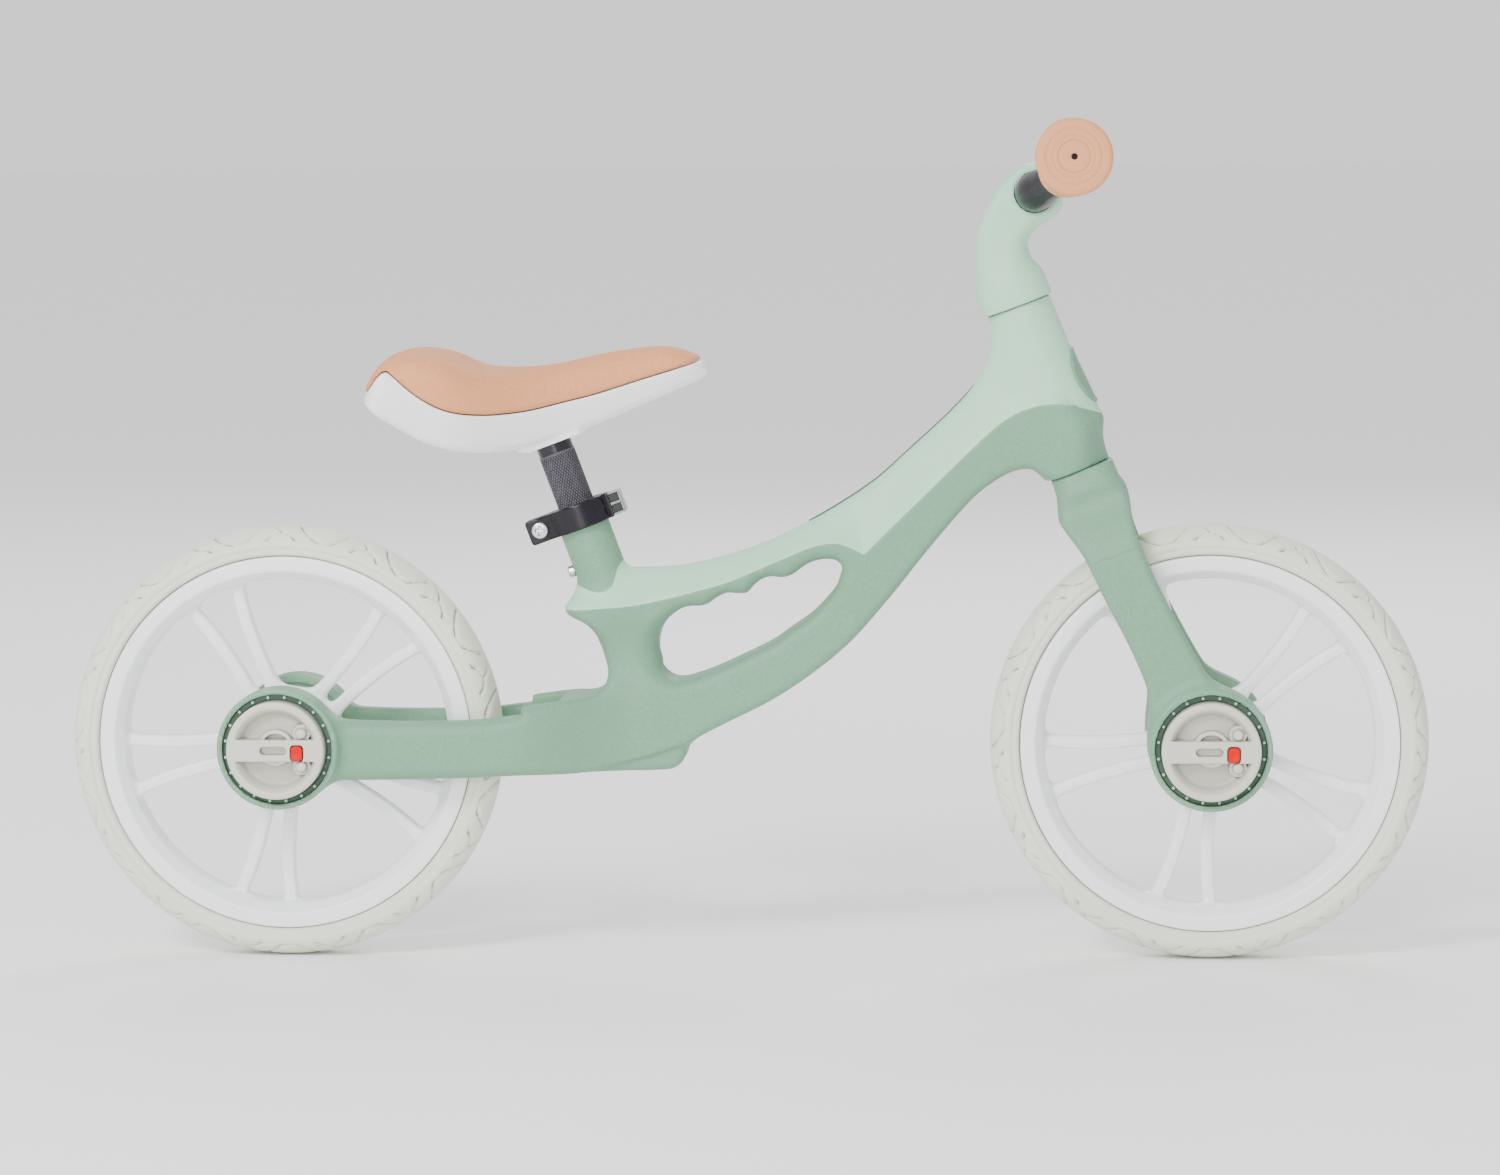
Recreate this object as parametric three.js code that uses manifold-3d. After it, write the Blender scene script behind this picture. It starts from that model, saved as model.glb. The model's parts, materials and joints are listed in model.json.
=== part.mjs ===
// A 12-inch-class balance bike: a two-tone cast frame with a grab-handle hole, a one-piece
// fork, five-pair spoked wheels with solid foam tyres, hub covers with a release button,
// a riser handlebar and a height-adjustable saddle.
// Millimetres. +X is forward, +Y is the rider's left, +Z is up. The origin is on the ground
// halfway between the two wheels.

import * as THREE from 'three';
import { mergeVertices } from 'three/addons/utils/BufferGeometryUtils.js';
import Module from 'manifold-3d';

const wasm = await Module();
wasm.setup();

// ---- driving dimensions ----------------------------------------------------------------

const FIT = 0.3; // gap kept between pieces that touch

const WHEELBASE = 588;
const TYRE_RADIUS = 138.5;
const TYRE_HALF_WIDTH = 20;
const TYRE_SEAT_RADIUS = 112;
const RIM_FLANGE_RADIUS = 119.5;
const RIM_INNER_RADIUS = 104.5;
const RIM_HALF_WIDTH = 17;
const SPOKE_PAIRS = 5;
const FIRST_PAIR_ANGLE = 45;
const SPOKE_PLATE_HALF = 6;
const RIM_CHAMFER = [110, 10]; // radius where the rim's face starts, half width of its inner edge
const RIM_SEAT_HALF = 13.9;
const HUB_RADIUS = 19;
const HUB_HALF_LENGTH = 24;
const HUB_PLATE = [40, 9]; // radius, half width
const HUB_SPACER = [8, 15.7]; // radius, half length
const WASHER_RADIUS = 9;

const AXLE_RADIUS = 5;
const AXLE_HALF_LENGTH = 51;
const BEARING_RADIUS = 13;
const BEARING_WIDTH = 8;

const WHEEL_SLOT_HALF = 27; // half the gap between the fork legs and between the stays
const STAY_SLOT_RADIUS = 178;
const FORK_SLOT_RADIUS = 147;
const CUP_RADIUS = 38.5;
const CUP_FACE = 50.3;
const CUP_RECESS_RADIUS = 35;
const CUP_FLOOR = 44;
const KNOB_RADIUS = 31;
const KNOB_FACE = 57.5;
const KNOB_FLOOR = 52.5;
const KNOB_BAR_HALF = [28, 7.35];
const KNOB_SLOT = { from: -8, to: 10, half: 2.7, depth: 2.5 };
const KNOB_BOSS_RADIUS = 9;
const BUTTON_SIZE = [7.1, 9.4];
const BUTTON_OFFSET = [13.9, -1.6];
const BUTTON_DEPTH = 5;
const BUTTON_PROUD = 1;
const BUTTON_TRAVEL = 2;

const STEER_TILT = THREE.MathUtils.degToRad(20.4);
const HEAD_TOP = [173.8, 415];
const HEAD_LENGTH = 110;
const HEAD_RADIUS_TOP = 21;
const HEAD_RADIUS_BOTTOM = 19.5;
const HEAD_BORE = 17.3;
const STEERER_RADIUS = 14.3;
const STEERER_WALL = 2.5;
const STEERER_BELOW = 25;
const STEERER_ABOVE = 35;
const BUSH_LENGTH = 14;

const BODY_HALF = 24; // half width of the frame at its crease
const CROWN_HALF = 9;
const CROWN_DROP = 2;
const STAY_HALF = 46;
const FOOTREST_HEIGHT = 120;
const STAY_ROOT = -118; // where the stays leave the body
const INLAY_HALF = 4.5;
const BADGE = { middle: -55, halfLength: 20, halfWidth: 11.5, sunk: 0.4, proud: 1.2 };

const SEAT_TILT = THREE.MathUtils.degToRad(20.2);
const SEAT_TUBE_MARK = [-101.5, 274];
const SEAT_TUBE_RADIUS = 16;
const SEAT_TUBE_TOP = 17;
const SEAT_TUBE_BOTTOM = -122;
const SET_SCREW_HEIGHT = -22;
const SET_SCREW_HEAD = { radius: 3.8, outer: -19.9, inner: -16.3 };
const POST_RADIUS = 11.75;
const POST_WALL = 2.2;
const POST_BOTTOM = -72;
const POST_TOP = 58;
const POST_BORE_DEPTH = -116;
const COLLAR_RADIUS = 20;
const COLLAR_SPAN = [1.2, 17.5];
const CLAMP_SCREW = [-26.7, 9.35];
const CLAMP_SHANK_RADIUS = 3;
const CLAMP_HEAD_RADIUS = 5.2;
const CLAMP_NUT_RADIUS = 5.6;
const FLANGE_HALF = [21, 18];
const FLANGE_SPAN = [58.3, 63];
const SCREW_SPOTS = [[-14, -11], [14, -11], [-14, 11], [14, 11]];
const SADDLE_SCREW = { shank: 2, head: 4, headHeight: 2.3, bottom: 56, top: 73 };

const BAR_RADIUS = 11.1;
const BAR_CENTRE = [184.2, 486.2];
const BAR_STRAIGHT_HALF = 24;
const STEM_HALF = 20;
const STEM_EYE = [17.5, 22]; // radius, half length
const STEM_GRUB_HEIGHT = 18;
const BAR_GRUB_HEIGHT = 63;
const GRUB_RADIUS = 3;
const GRIP_INNER = [203.9, 100, 501.3];
const GRIP_OUTER = [208.4, 195, 509.9];
const GRIP_RADIUS = 15.5;
const GRIP_FLANGE_RADIUS = 23;
const GRIP_END_WALL = 3;
const GRIP_END_RADIUS = 17;

const SADDLE_REAR = -240;
const SADDLE_FRONT = -24;
const SADDLE_SLICES = 12;

const BEYOND = 60; // a cutting tool's reach past the sides of the bike

// ---- colours and finishes --------------------------------------------------------------

function finish(colour, roughness, metalness) {
  return new THREE.MeshStandardMaterial({ color: colour, roughness, metalness });
}

const lightPaint = finish(0xc3d5c9, 0.42, 0.1);
const darkPaint = finish(0x9db5a5, 0.45, 0.1);
const deepGreen = finish(0x4c6257, 0.5, 0.1);
const blackPaint = finish(0x1d1b20, 0.3, 0.4);
const steel = finish(0xb9bcc0, 0.3, 1);
const zinc = finish(0xd8dadd, 0.35, 1);
const whitePlastic = finish(0xf3f4f5, 0.3, 0);
const foamTyre = finish(0xd8d9d3, 0.85, 0);
const peach = finish(0xd6b09a, 0.7, 0);
const beige = finish(0xd7d4cf, 0.5, 0);
const orange = finish(0xff5019, 0.35, 0);
const clearGrey = finish(0xc9cccf, 0.25, 0);

// ---- solids ----------------------------------------------------------------------------

// Welds a geometry's vertices, drops collapsed triangles and turns its faces outwards.
function solid(geometry) {
  const bare = geometry.clone();
  bare.deleteAttribute('normal');
  bare.deleteAttribute('uv');
  const welded = mergeVertices(bare, 1e-3);
  const at = (i) => new THREE.Vector3().fromBufferAttribute(welded.attributes.position, i);
  const triangles = [];
  let volume = 0;
  for (let i = 0; i < welded.index.count; i += 3) {
    const [a, b, c] = welded.index.array.slice(i, i + 3);
    if (a === b || b === c || c === a) continue;
    triangles.push(a, b, c);
    volume += at(a).dot(at(b).cross(at(c)));
  }
  if (volume < 0) triangles.reverse();
  return new wasm.Manifold(new wasm.Mesh({
    numProp: 3,
    vertProperties: new Float32Array(welded.attributes.position.array),
    triVerts: new Uint32Array(triangles),
  }));
}

function geometryOf(body) {
  const mesh = body.getMesh();
  const geometry = new THREE.BufferGeometry();
  geometry.setAttribute('position', new THREE.BufferAttribute(mesh.vertProperties, 3));
  geometry.setIndex(new THREE.BufferAttribute(mesh.triVerts, 1));
  geometry.computeVertexNormals();
  return geometry;
}

function joined(...bodies) {
  return bodies.reduce((sum, body) => sum.add(body));
}

function cut(body, ...tools) {
  return tools.reduce((rest, tool) => rest.subtract(tool), body);
}

function flatShape(outline, holes = []) {
  const toVectors = (points) => points.map(([x, y]) => new THREE.Vector2(x, y));
  const shape = new THREE.Shape(toVectors(outline));
  shape.holes = holes.map((hole) => new THREE.Path(toVectors(hole)));
  return shape;
}

function extruded(outline, depth, holes = []) {
  return new THREE.ExtrudeGeometry(flatShape(outline, holes), { depth, bevelEnabled: false });
}

// A side-view outline of [x, z] points as a plate between two Y planes.
function sidePlate(outline, yLow, yHigh, holes = []) {
  const plate = extruded(outline, yHigh - yLow, holes);
  plate.rotateX(Math.PI / 2);
  plate.translate(0, yHigh, 0);
  return solid(plate);
}

// A top-view outline of [x, y] points as a block between two heights.
function topPlate(outline, zLow, zHigh) {
  const plate = extruded(outline, zHigh - zLow);
  plate.translate(0, 0, zLow);
  return solid(plate);
}

// A round solid turned about the Y axis from [radius, y] points.
function turned(profile, segments = 24) {
  return new THREE.LatheGeometry(profile.map(([r, y]) => new THREE.Vector2(r, y)), segments);
}

function ringProfile(inner, outer, low, high) {
  return [[inner, low], [outer, low], [outer, high], [inner, high], [inner, low]];
}

function rodProfile(radius, low, high) {
  return [[0, low], [radius, low], [radius, high], [0, high]];
}

// Leans an upright geometry back about Y and sets its origin on the point [x, z].
function leaned(geometry, tilt, [x, z]) {
  geometry.rotateY(-tilt);
  geometry.translate(x, 0, z);
  return solid(geometry);
}

const byHead = (geometry) => leaned(geometry, STEER_TILT, HEAD_TOP);
const bySeat = (geometry) => leaned(geometry, SEAT_TILT, SEAT_TUBE_MARK);
const onSteerAxis = (geometry) => byHead(geometry.rotateX(Math.PI / 2));
const onSeatAxis = (geometry) => bySeat(geometry.rotateX(Math.PI / 2));

// An outline of [forward, left] points as a block on the seat axis, between two heights.
function seatBlock(outline, low, high) {
  return bySeat(extruded(outline, high - low).translate(0, 0, low));
}

// A rod that points forward, square to its leaning axis, at a height on it.
function forwardRod(radius, from, to, height) {
  const rod = new THREE.CylinderGeometry(radius, radius, to - from, 12);
  rod.rotateZ(Math.PI / 2);
  return rod.translate((from + to) / 2, 0, height);
}

// A rod across the bike, about Y through [x, z].
function crossRod(radius, yLow, yHigh, [x, z], segments = 24) {
  const rod = turned(rodProfile(radius, yLow, yHigh), segments);
  rod.translate(x, 0, z);
  return solid(rod);
}

// A skin through rings of points, with both ends closed.
function loft(rings) {
  const count = rings[0].length;
  const points = rings.flat();
  const index = [];
  for (let i = 0; i + 1 < rings.length; i += 1) {
    for (let j = 0; j < count; j += 1) {
      const a = i * count + j;
      const b = i * count + ((j + 1) % count);
      index.push(a, b, b + count, a, b + count, a + count);
    }
  }
  const last = (rings.length - 1) * count;
  for (let j = 1; j + 1 < count; j += 1) {
    index.push(0, j + 1, j, last, last + j, last + j + 1);
  }
  const geometry = new THREE.BufferGeometry();
  geometry.setAttribute('position', new THREE.Float32BufferAttribute(points.flat(), 3));
  geometry.setIndex(index);
  return solid(geometry);
}

// Smooth points through an outline's corner points.
function smooth(points, steps) {
  const curve = new THREE.SplineCurve(points.map(([x, y]) => new THREE.Vector2(x, y)));
  return curve.getPoints(steps).map((p) => [p.x, p.y]);
}

// Height of a polyline of [x, z] points at x.
function heightAt(line, x) {
  const next = Math.max(1, line.findIndex(([px]) => px >= x));
  const [x0, z0] = line[next - 1];
  const [x1, z1] = line[next];
  return z0 + ((z1 - z0) * (x - x0)) / (x1 - x0);
}

// A closed outline from one half of it, whose second coordinate is mirrored.
function twoSides(half) {
  return [...half, ...half.map(([a, b]) => [a, -b]).reverse()];
}

function arc(centre, radius, from, to, steps) {
  return Array.from({ length: steps + 1 }, (_, i) => {
    const angle = THREE.MathUtils.degToRad(from + ((to - from) * i) / steps);
    return [centre[0] + radius * Math.cos(angle), centre[1] + radius * Math.sin(angle)];
  });
}

// ---- the assembly ----------------------------------------------------------------------

const bike = new THREE.Group();

function piece(name, shape, material, parent = bike) {
  const mesh = new THREE.Mesh(shape.getMesh ? geometryOf(shape) : geometryOf(solid(shape)), material);
  mesh.name = name;
  parent.add(mesh);
  return mesh;
}

const REAR_AXLE = [-WHEELBASE / 2, TYRE_RADIUS];
const FRONT_AXLE = [WHEELBASE / 2, TYRE_RADIUS];

// ---- frame -----------------------------------------------------------------------------

const CROWN_LINE = [
  [-116, 232], [-104, 243], [-74, 251.5], [-36, 251.5], [3, 262], [41, 279], [79, 302.4],
  [105, 324.6], [130, 348], [143, 361.2], [152.5, 377], [168, 392],
];
const CREASE_LINE = [
  [-118, 224.5], [-90, 225.4], [-46, 232.2], [-8, 242.2], [30, 258.6], [57.8, 266.5], [76.4, 259.2],
  [93, 275.6], [118, 300], [143.4, 324.6], [168.5, 345.9], [193.5, 354], [236, 344],
];
const UNDERSIDE = smooth([
  [-30, 139], [-9, 152.9], [29.3, 173.3], [67.4, 203.2], [105.5, 247.6],
  [143.3, 292.4], [168, 310], [194, 311],
], 14);
const KEEL_RADIUS = 14.5;
const KEEL_NOSE = arc([-50, FOOTREST_HEIGHT + KEEL_RADIUS], KEEL_RADIUS, 270, 350, 4);
const KEEL = [[-116, FOOTREST_HEIGHT], ...KEEL_NOSE];
const COLUMN_REAR = smooth([[-116, 167], [-95, 170.3], [-87.6, 186], [-93.3, 205], [-113, 221]], 7);
const FINGER_EDGE = smooth([
  [-41, 222.5], [-27, 226], [-14.5, 233], [3, 234.6], [10.3, 242.4], [28.7, 245], [39.5, 252.6],
], 10);
const HANDLE_HOLE = [
  ...FINGER_EDGE,
  ...arc([56, 247.5], 7, 110, -30, 5),
  ...smooth([[44, 221.3], [14.5, 200.7], [-15, 186.7], [-36, 179.5]], 5),
  ...arc([-44.5, 189.5], 10.5, 270, 170, 4),
  [-55.4, 204],
];

// One slice of the top tube at x: the sides stand on the crease and lean in to the crown.
function topTubeSlice(x) {
  const crease = heightAt(CREASE_LINE, x);
  const crown = heightAt(CROWN_LINE, x);
  const shoulder = crown - CROWN_DROP;
  return [
    [x, -BODY_HALF, crease - 6], [x, BODY_HALF, crease - 6], [x, BODY_HALF, crease],
    [x, CROWN_HALF, shoulder], [x, 0, crown], [x, -CROWN_HALF, shoulder], [x, -BODY_HALF, crease],
  ];
}

function topTube() {
  const stations = [...CROWN_LINE, ...CREASE_LINE].map(([x]) => x).filter((x) => x >= -116 && x <= 168);
  const sorted = [...new Set(stations)].sort((a, b) => a - b);
  return loft(sorted.map(topTubeSlice));
}

function headTube() {
  return onSteerAxis(turned([
    [0, -HEAD_LENGTH], [HEAD_RADIUS_BOTTOM, -HEAD_LENGTH], [HEAD_RADIUS_TOP, 0], [0, 0],
  ]));
}

function headBore() {
  return onSteerAxis(turned(rodProfile(HEAD_BORE, -HEAD_LENGTH - 5, 5)));
}

function stays() {
  const axleX = REAR_AXLE[0];
  const top = [[STAY_ROOT, 160], [-140, 158.6], [-175, 155.2], [-262, 156], [axleX, 160]];
  const bottom = [[axleX, 117], [-240, 117], [-175, 118.5], [STAY_ROOT, 119.5]];
  const root = [[-100, 119.5], [-100, 168]];
  const side = sidePlate([...top, ...bottom, ...root], -STAY_HALF, STAY_HALF);
  const plan = topPlate(twoSides([[axleX, STAY_HALF], [-150, STAY_HALF], [-100, BODY_HALF]]), 100, 200);
  return side.intersect(plan);
}

// The wheel's slot between the stays or the fork legs.
function wheelSlot(axle, radius) {
  return crossRod(radius, -WHEEL_SLOT_HALF, WHEEL_SLOT_HALF, axle, 48);
}

// Both hub cups on one axle, without their recesses.
function cups(axle) {
  return joined(
    crossRod(CUP_RADIUS, -CUP_FACE, -WHEEL_SLOT_HALF, axle, 28),
    crossRod(CUP_RADIUS, WHEEL_SLOT_HALF, CUP_FACE, axle, 28),
  );
}

function cupRecesses(axle) {
  return joined(
    crossRod(CUP_RECESS_RADIUS, -CUP_FACE - 1, -CUP_FLOOR, axle, 28),
    crossRod(CUP_RECESS_RADIUS, CUP_FLOOR, CUP_FACE + 1, axle, 28),
    crossRod(AXLE_RADIUS + FIT, -CUP_FACE, CUP_FACE, axle, 12),
  );
}

function seatTube(radius, low, high) {
  return onSeatAxis(turned(rodProfile(radius, low, high), 20));
}

function setScrewShape(radius, from, to) {
  return bySeat(forwardRod(radius, from, to, SET_SCREW_HEIGHT));
}

// The plan of the body in front of the stays: it narrows to a rounded nose at the head.
function bodyPlan() {
  const noseHalf = BODY_HALF - 4;
  return topPlate(twoSides([[-120, BEYOND], [150, BEYOND], [186, noseHalf]]), 90, 360);
}

function lowerBody() {
  const creaseBack = [...CREASE_LINE].reverse();
  const outline = [...KEEL, ...UNDERSIDE, [236, 311], ...creaseBack, ...[...COLUMN_REAR].reverse()];
  const core = sidePlate(outline, -BODY_HALF, BODY_HALF, [HANDLE_HOLE]);
  const noseFront = arc([206, 330], 26, -30, 40, 4);
  const noseSide = [...UNDERSIDE.slice(7), ...noseFront, ...creaseBack.slice(1, 4), [110, 280]];
  const nose = sidePlate(noseSide, -BODY_HALF, BODY_HALF);
  const belowCrease = sidePlate([...creaseBack.slice(0, 5), [118, 200], [260, 200]], -BEYOND, BEYOND);
  const plan = bodyPlan();
  const casting = joined(
    core.intersect(plan),
    nose.intersect(plan),
    headTube().intersect(belowCrease),
    stays(),
    cups(REAR_AXLE),
  );
  const slotted = cut(casting, wheelSlot(REAR_AXLE, STAY_SLOT_RADIUS));
  return cut(
    joined(slotted, seatTube(SEAT_TUBE_RADIUS, SEAT_TUBE_BOTTOM, SEAT_TUBE_TOP)),
    headBore(),
    cupRecesses(REAR_AXLE),
    seatTube(POST_RADIUS + FIT, POST_BORE_DEPTH, SEAT_TUBE_TOP + 1),
    setScrewShape(2.8, -20, -11),
  );
}

function upperShell() {
  const above = CREASE_LINE.map(([x, z]) => [x, z + FIT]);
  const mask = sidePlate([...above, [260, 460], [-118, 460]], -BEYOND, BEYOND);
  const shell = joined(topTube(), headTube()).intersect(mask);
  return cut(shell, headBore(), seatTube(SEAT_TUBE_RADIUS + FIT, -60, 30));
}

piece('frame_lower_body', lowerBody(), darkPaint);
piece('frame_upper_shell', upperShell(), lightPaint);

// A thin strip that lies along the crown of the top tube.
const INLAY_STATIONS = [41, 57.8, 76.4, 79, 93, 105, 118, 130, 143];
const INLAY_THICKNESS = 1;

function inlaySlice(x) {
  const middle = heightAt(CROWN_LINE, x) + FIT;
  const edge = middle - (CROWN_DROP / CROWN_HALF) * INLAY_HALF;
  const bottom = [[x, -INLAY_HALF, edge], [x, 0, middle], [x, INLAY_HALF, edge]];
  return [...bottom, ...bottom.map(([px, py, pz]) => [px, py, pz + INLAY_THICKNESS]).reverse()];
}

function inlayStrip() {
  return loft(INLAY_STATIONS.map(inlaySlice));
}

piece('top_tube_inlay', inlayStrip(), deepGreen);

// An oval plate bent round the front of the head tube.
function headBadge() {
  const inner = HEAD_RADIUS_TOP - BADGE.sunk;
  const outer = HEAD_RADIUS_TOP + BADGE.proud;
  const bent = turned(ringProfile(inner, outer, BADGE.middle - 23, BADGE.middle + 23), 32);
  const oval = extruded(arc([0, 0], 1, 0, 337.5, 15), 40);
  oval.scale(BADGE.halfLength, BADGE.halfWidth, 1);
  oval.rotateY(Math.PI / 2);
  oval.translate(0, 0, BADGE.middle);
  return onSteerAxis(bent).intersect(byHead(oval));
}

piece('head_badge', headBadge(), deepGreen);

function headBush(low, high) {
  return onSteerAxis(turned(ringProfile(STEERER_RADIUS + FIT, HEAD_BORE - FIT, low, high), 20));
}

piece('head_bush_upper', headBush(-BUSH_LENGTH, -FIT), steel);
piece('head_bush_lower', headBush(-HEAD_LENGTH + FIT, -HEAD_LENGTH + BUSH_LENGTH), steel);
const setScrew = joined(
  setScrewShape(2.5, SET_SCREW_HEAD.inner - 1, -12.5),
  setScrewShape(SET_SCREW_HEAD.radius, SET_SCREW_HEAD.outer, SET_SCREW_HEAD.inner),
);
piece('seat_tube_set_screw', setScrew, zinc);

// ---- seat clamp ------------------------------------------------------------------------

const EAR_HALF = 8; // half the width of the ears the clamp screw goes through
const LUG_FRONT = 21;

// A rod across the bike through the clamp's ears.
function clampRod(radius, yLow, yHigh, segments) {
  const rod = turned(rodProfile(radius, yLow, yHigh), segments);
  return bySeat(rod.translate(CLAMP_SCREW[0], 0, CLAMP_SCREW[1]));
}

function clampCollar() {
  const half = [[LUG_FRONT, 7.5], ...arc([0, 0], COLLAR_RADIUS, 24, 156, 8), [-31, EAR_HALF], [-33.6, 5]];
  const block = seatBlock(twoSides(half), ...COLLAR_SPAN);
  const slit = seatBlock(twoSides([[-40, 1], [-12, 1]]), -5, 30);
  const bore = seatTube(SEAT_TUBE_RADIUS + FIT, -10, 30);
  return cut(block, bore, slit, clampRod(CLAMP_SHANK_RADIUS + FIT, -12, 12, 10));
}

function clampScrew() {
  const head = clampRod(CLAMP_HEAD_RADIUS, -EAR_HALF - 3, -EAR_HALF - FIT, 16);
  return joined(head, clampRod(CLAMP_SHANK_RADIUS, -EAR_HALF - 1, 12.5, 10));
}

function clampNut() {
  const hexagon = clampRod(CLAMP_NUT_RADIUS, EAR_HALF + FIT, EAR_HALF + 4, 6);
  return cut(hexagon, clampRod(CLAMP_SHANK_RADIUS + FIT, 7, 14, 10));
}

function clampCap() {
  const half = [[LUG_FRONT + FIT, 7.2], [28, 7.2], [29.6, 5.6]];
  return seatBlock(twoSides(half), COLLAR_SPAN[0] + 0.5, COLLAR_SPAN[1] - 0.5);
}

piece('seat_clamp_collar', clampCollar(), blackPaint);
piece('seat_clamp_screw', clampScrew(), zinc);
piece('seat_clamp_nut', clampNut(), zinc);
piece('seat_clamp_cap', clampCap(), clearGrey);

// ---- saddle ----------------------------------------------------------------------------

const PAD_TOP = smooth([
  [SADDLE_REAR, 366], [-228, 381], [-206, 389.3], [-180, 385], [-142, 380], [-104, 384], [-59, 390],
  [-36, 388], [SADDLE_FRONT, 380],
], 22);
const SEAM = smooth([
  [SADDLE_REAR, 360], [-222, 368], [-205, 365.8], [-168, 353.8], [-130, 357.4], [-67, 372.8],
  [SADDLE_FRONT, 377],
], 22);
const SHELL_BOTTOM = smooth([
  [SADDLE_REAR, 354], [-220, 340], [-181, 326], [-143, 327], [-110, 335.6], [-60, 358.3],
  [SADDLE_FRONT, 373],
], 22);
const SADDLE_HALF_WIDTH = smooth([
  [SADDLE_REAR, 36], [-228, 52], [-200, 62], [-170, 60], [-140, 46], [-100, 30], [-60, 25],
  [-36, 21], [SADDLE_FRONT, 13],
], 22);
const SADDLE_STATIONS = Array.from(
  { length: SADDLE_SLICES + 1 },
  (_, i) => SADDLE_REAR + ((SADDLE_FRONT - SADDLE_REAR) * i) / SADDLE_SLICES,
);

// One slice of the saddle: [share of the half width, share of the height] points, left side.
function saddleSlice(x, low, high, profile) {
  const half = heightAt(SADDLE_HALF_WIDTH, x);
  const left = profile.map(([out, up]) => [x, half * out, low + (high - low) * up]);
  const right = left.filter(([, y]) => y > 0).map(([px, y, z]) => [px, -y, z]).reverse();
  return [...left, ...right];
}

function padSlice(x) {
  const low = heightAt(SEAM, x) + FIT;
  const high = Math.max(heightAt(PAD_TOP, x), low + 2);
  return saddleSlice(x, low, high, [[1, 0], [0.94, 0.55], [0.62, 0.92], [0, 1]]);
}

function shellSlice(x) {
  const high = heightAt(SEAM, x);
  const low = Math.min(heightAt(SHELL_BOTTOM, x), high - 2);
  return saddleSlice(x, low, high, [[0.6, 0], [0.97, 0.6], [1, 1]]);
}

function flangeOutline(grow) {
  const [a, b] = FLANGE_HALF.map((half) => half + grow);
  return twoSides([[-a, b], [a, b]]);
}

function screwRod([forward, left], radius, low, high) {
  const rod = turned(rodProfile(radius, low, high), 8).rotateX(Math.PI / 2);
  return bySeat(rod.translate(forward, left, 0));
}

function saddleShell() {
  const pocket = seatBlock(flangeOutline(1), 30, FLANGE_SPAN[1] + FIT);
  const { shank, top } = SADDLE_SCREW;
  const threads = SCREW_SPOTS.map((spot) => screwRod(spot, shank + FIT, 50, top + FIT));
  return cut(loft(SADDLE_STATIONS.map(shellSlice)), pocket, ...threads);
}

function saddleFlange() {
  const plate = seatBlock(flangeOutline(0), ...FLANGE_SPAN);
  return cut(plate, ...SCREW_SPOTS.map((spot) => screwRod(spot, SADDLE_SCREW.shank + 0.5, 50, 80)));
}

function saddleScrew(spot) {
  const { shank, head, headHeight, bottom, top } = SADDLE_SCREW;
  const seat = FLANGE_SPAN[0] - FIT;
  return joined(screwRod(spot, head, seat - headHeight, seat), screwRod(spot, shank, bottom, top));
}

function seatPost() {
  return onSeatAxis(turned(ringProfile(POST_RADIUS - POST_WALL, POST_RADIUS, POST_BOTTOM, POST_TOP), 20));
}

piece('seat_post', seatPost(), blackPaint);
piece('saddle_flange', saddleFlange(), blackPaint);
piece('saddle_shell', saddleShell(), whitePlastic);
piece('saddle_pad', loft(SADDLE_STATIONS.map(padSlice)), peach);
SCREW_SPOTS.forEach((spot, i) => piece(`saddle_screw_${i + 1}`, saddleScrew(spot), zinc));

// ---- fork, stem and handlebar ----------------------------------------------------------

const FORK_REAR = smooth([
  [193.4, 306], [198.4, 290], [203, 274], [215.2, 257.9], [234, 220], [252.6, 182.7], [256.4, 152],
], 9);
const FORK_FRONT = smooth([
  [306, 172], [285.5, 195.2], [264.9, 232.8], [248.7, 270.4], [243, 297], [231.2, 319.2],
], 9);
// Half of the fork seen from the front: [height on the steering axis, half width] points.
const FORK_FACE = [
  [-HEAD_LENGTH, 20], [-118, 24], [-133, 36], [-148, 44], [-160, STAY_HALF], [-310, STAY_HALF],
];

function forkFace() {
  const depth = 300;
  const face = extruded(twoSides(FORK_FACE), depth).translate(0, 0, -depth / 2);
  return byHead(face.rotateY(-Math.PI / 2));
}

function fork() {
  const side = sidePlate([...FORK_REAR, [280, 138], ...FORK_FRONT], -BEYOND, BEYOND);
  const crownGap = onSteerAxis(turned(rodProfile(BEYOND, -HEAD_LENGTH - FIT, 20)));
  const legs = joined(cut(side.intersect(forkFace()), crownGap), cups(FRONT_AXLE));
  return cut(
    legs,
    wheelSlot(FRONT_AXLE, FORK_SLOT_RADIUS),
    cupRecesses(FRONT_AXLE),
    onSteerAxis(turned(rodProfile(STEERER_RADIUS + FIT, -HEAD_LENGTH - STEERER_BELOW - FIT, 0))),
  );
}

const STEM_REAR = smooth([[154.4, 409.5], [147.2, 435], [148.6, 462], [162.8, 490.3], [168, 496.5]], 7);
const STEM_FRONT = smooth([[197, 472], [190, 466], [180, 456], [183.4, 440.1], [193, 423.5]], 7);

function grubScrew(radius, from, to, height) {
  return byHead(forwardRod(radius, from, to, height));
}

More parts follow.
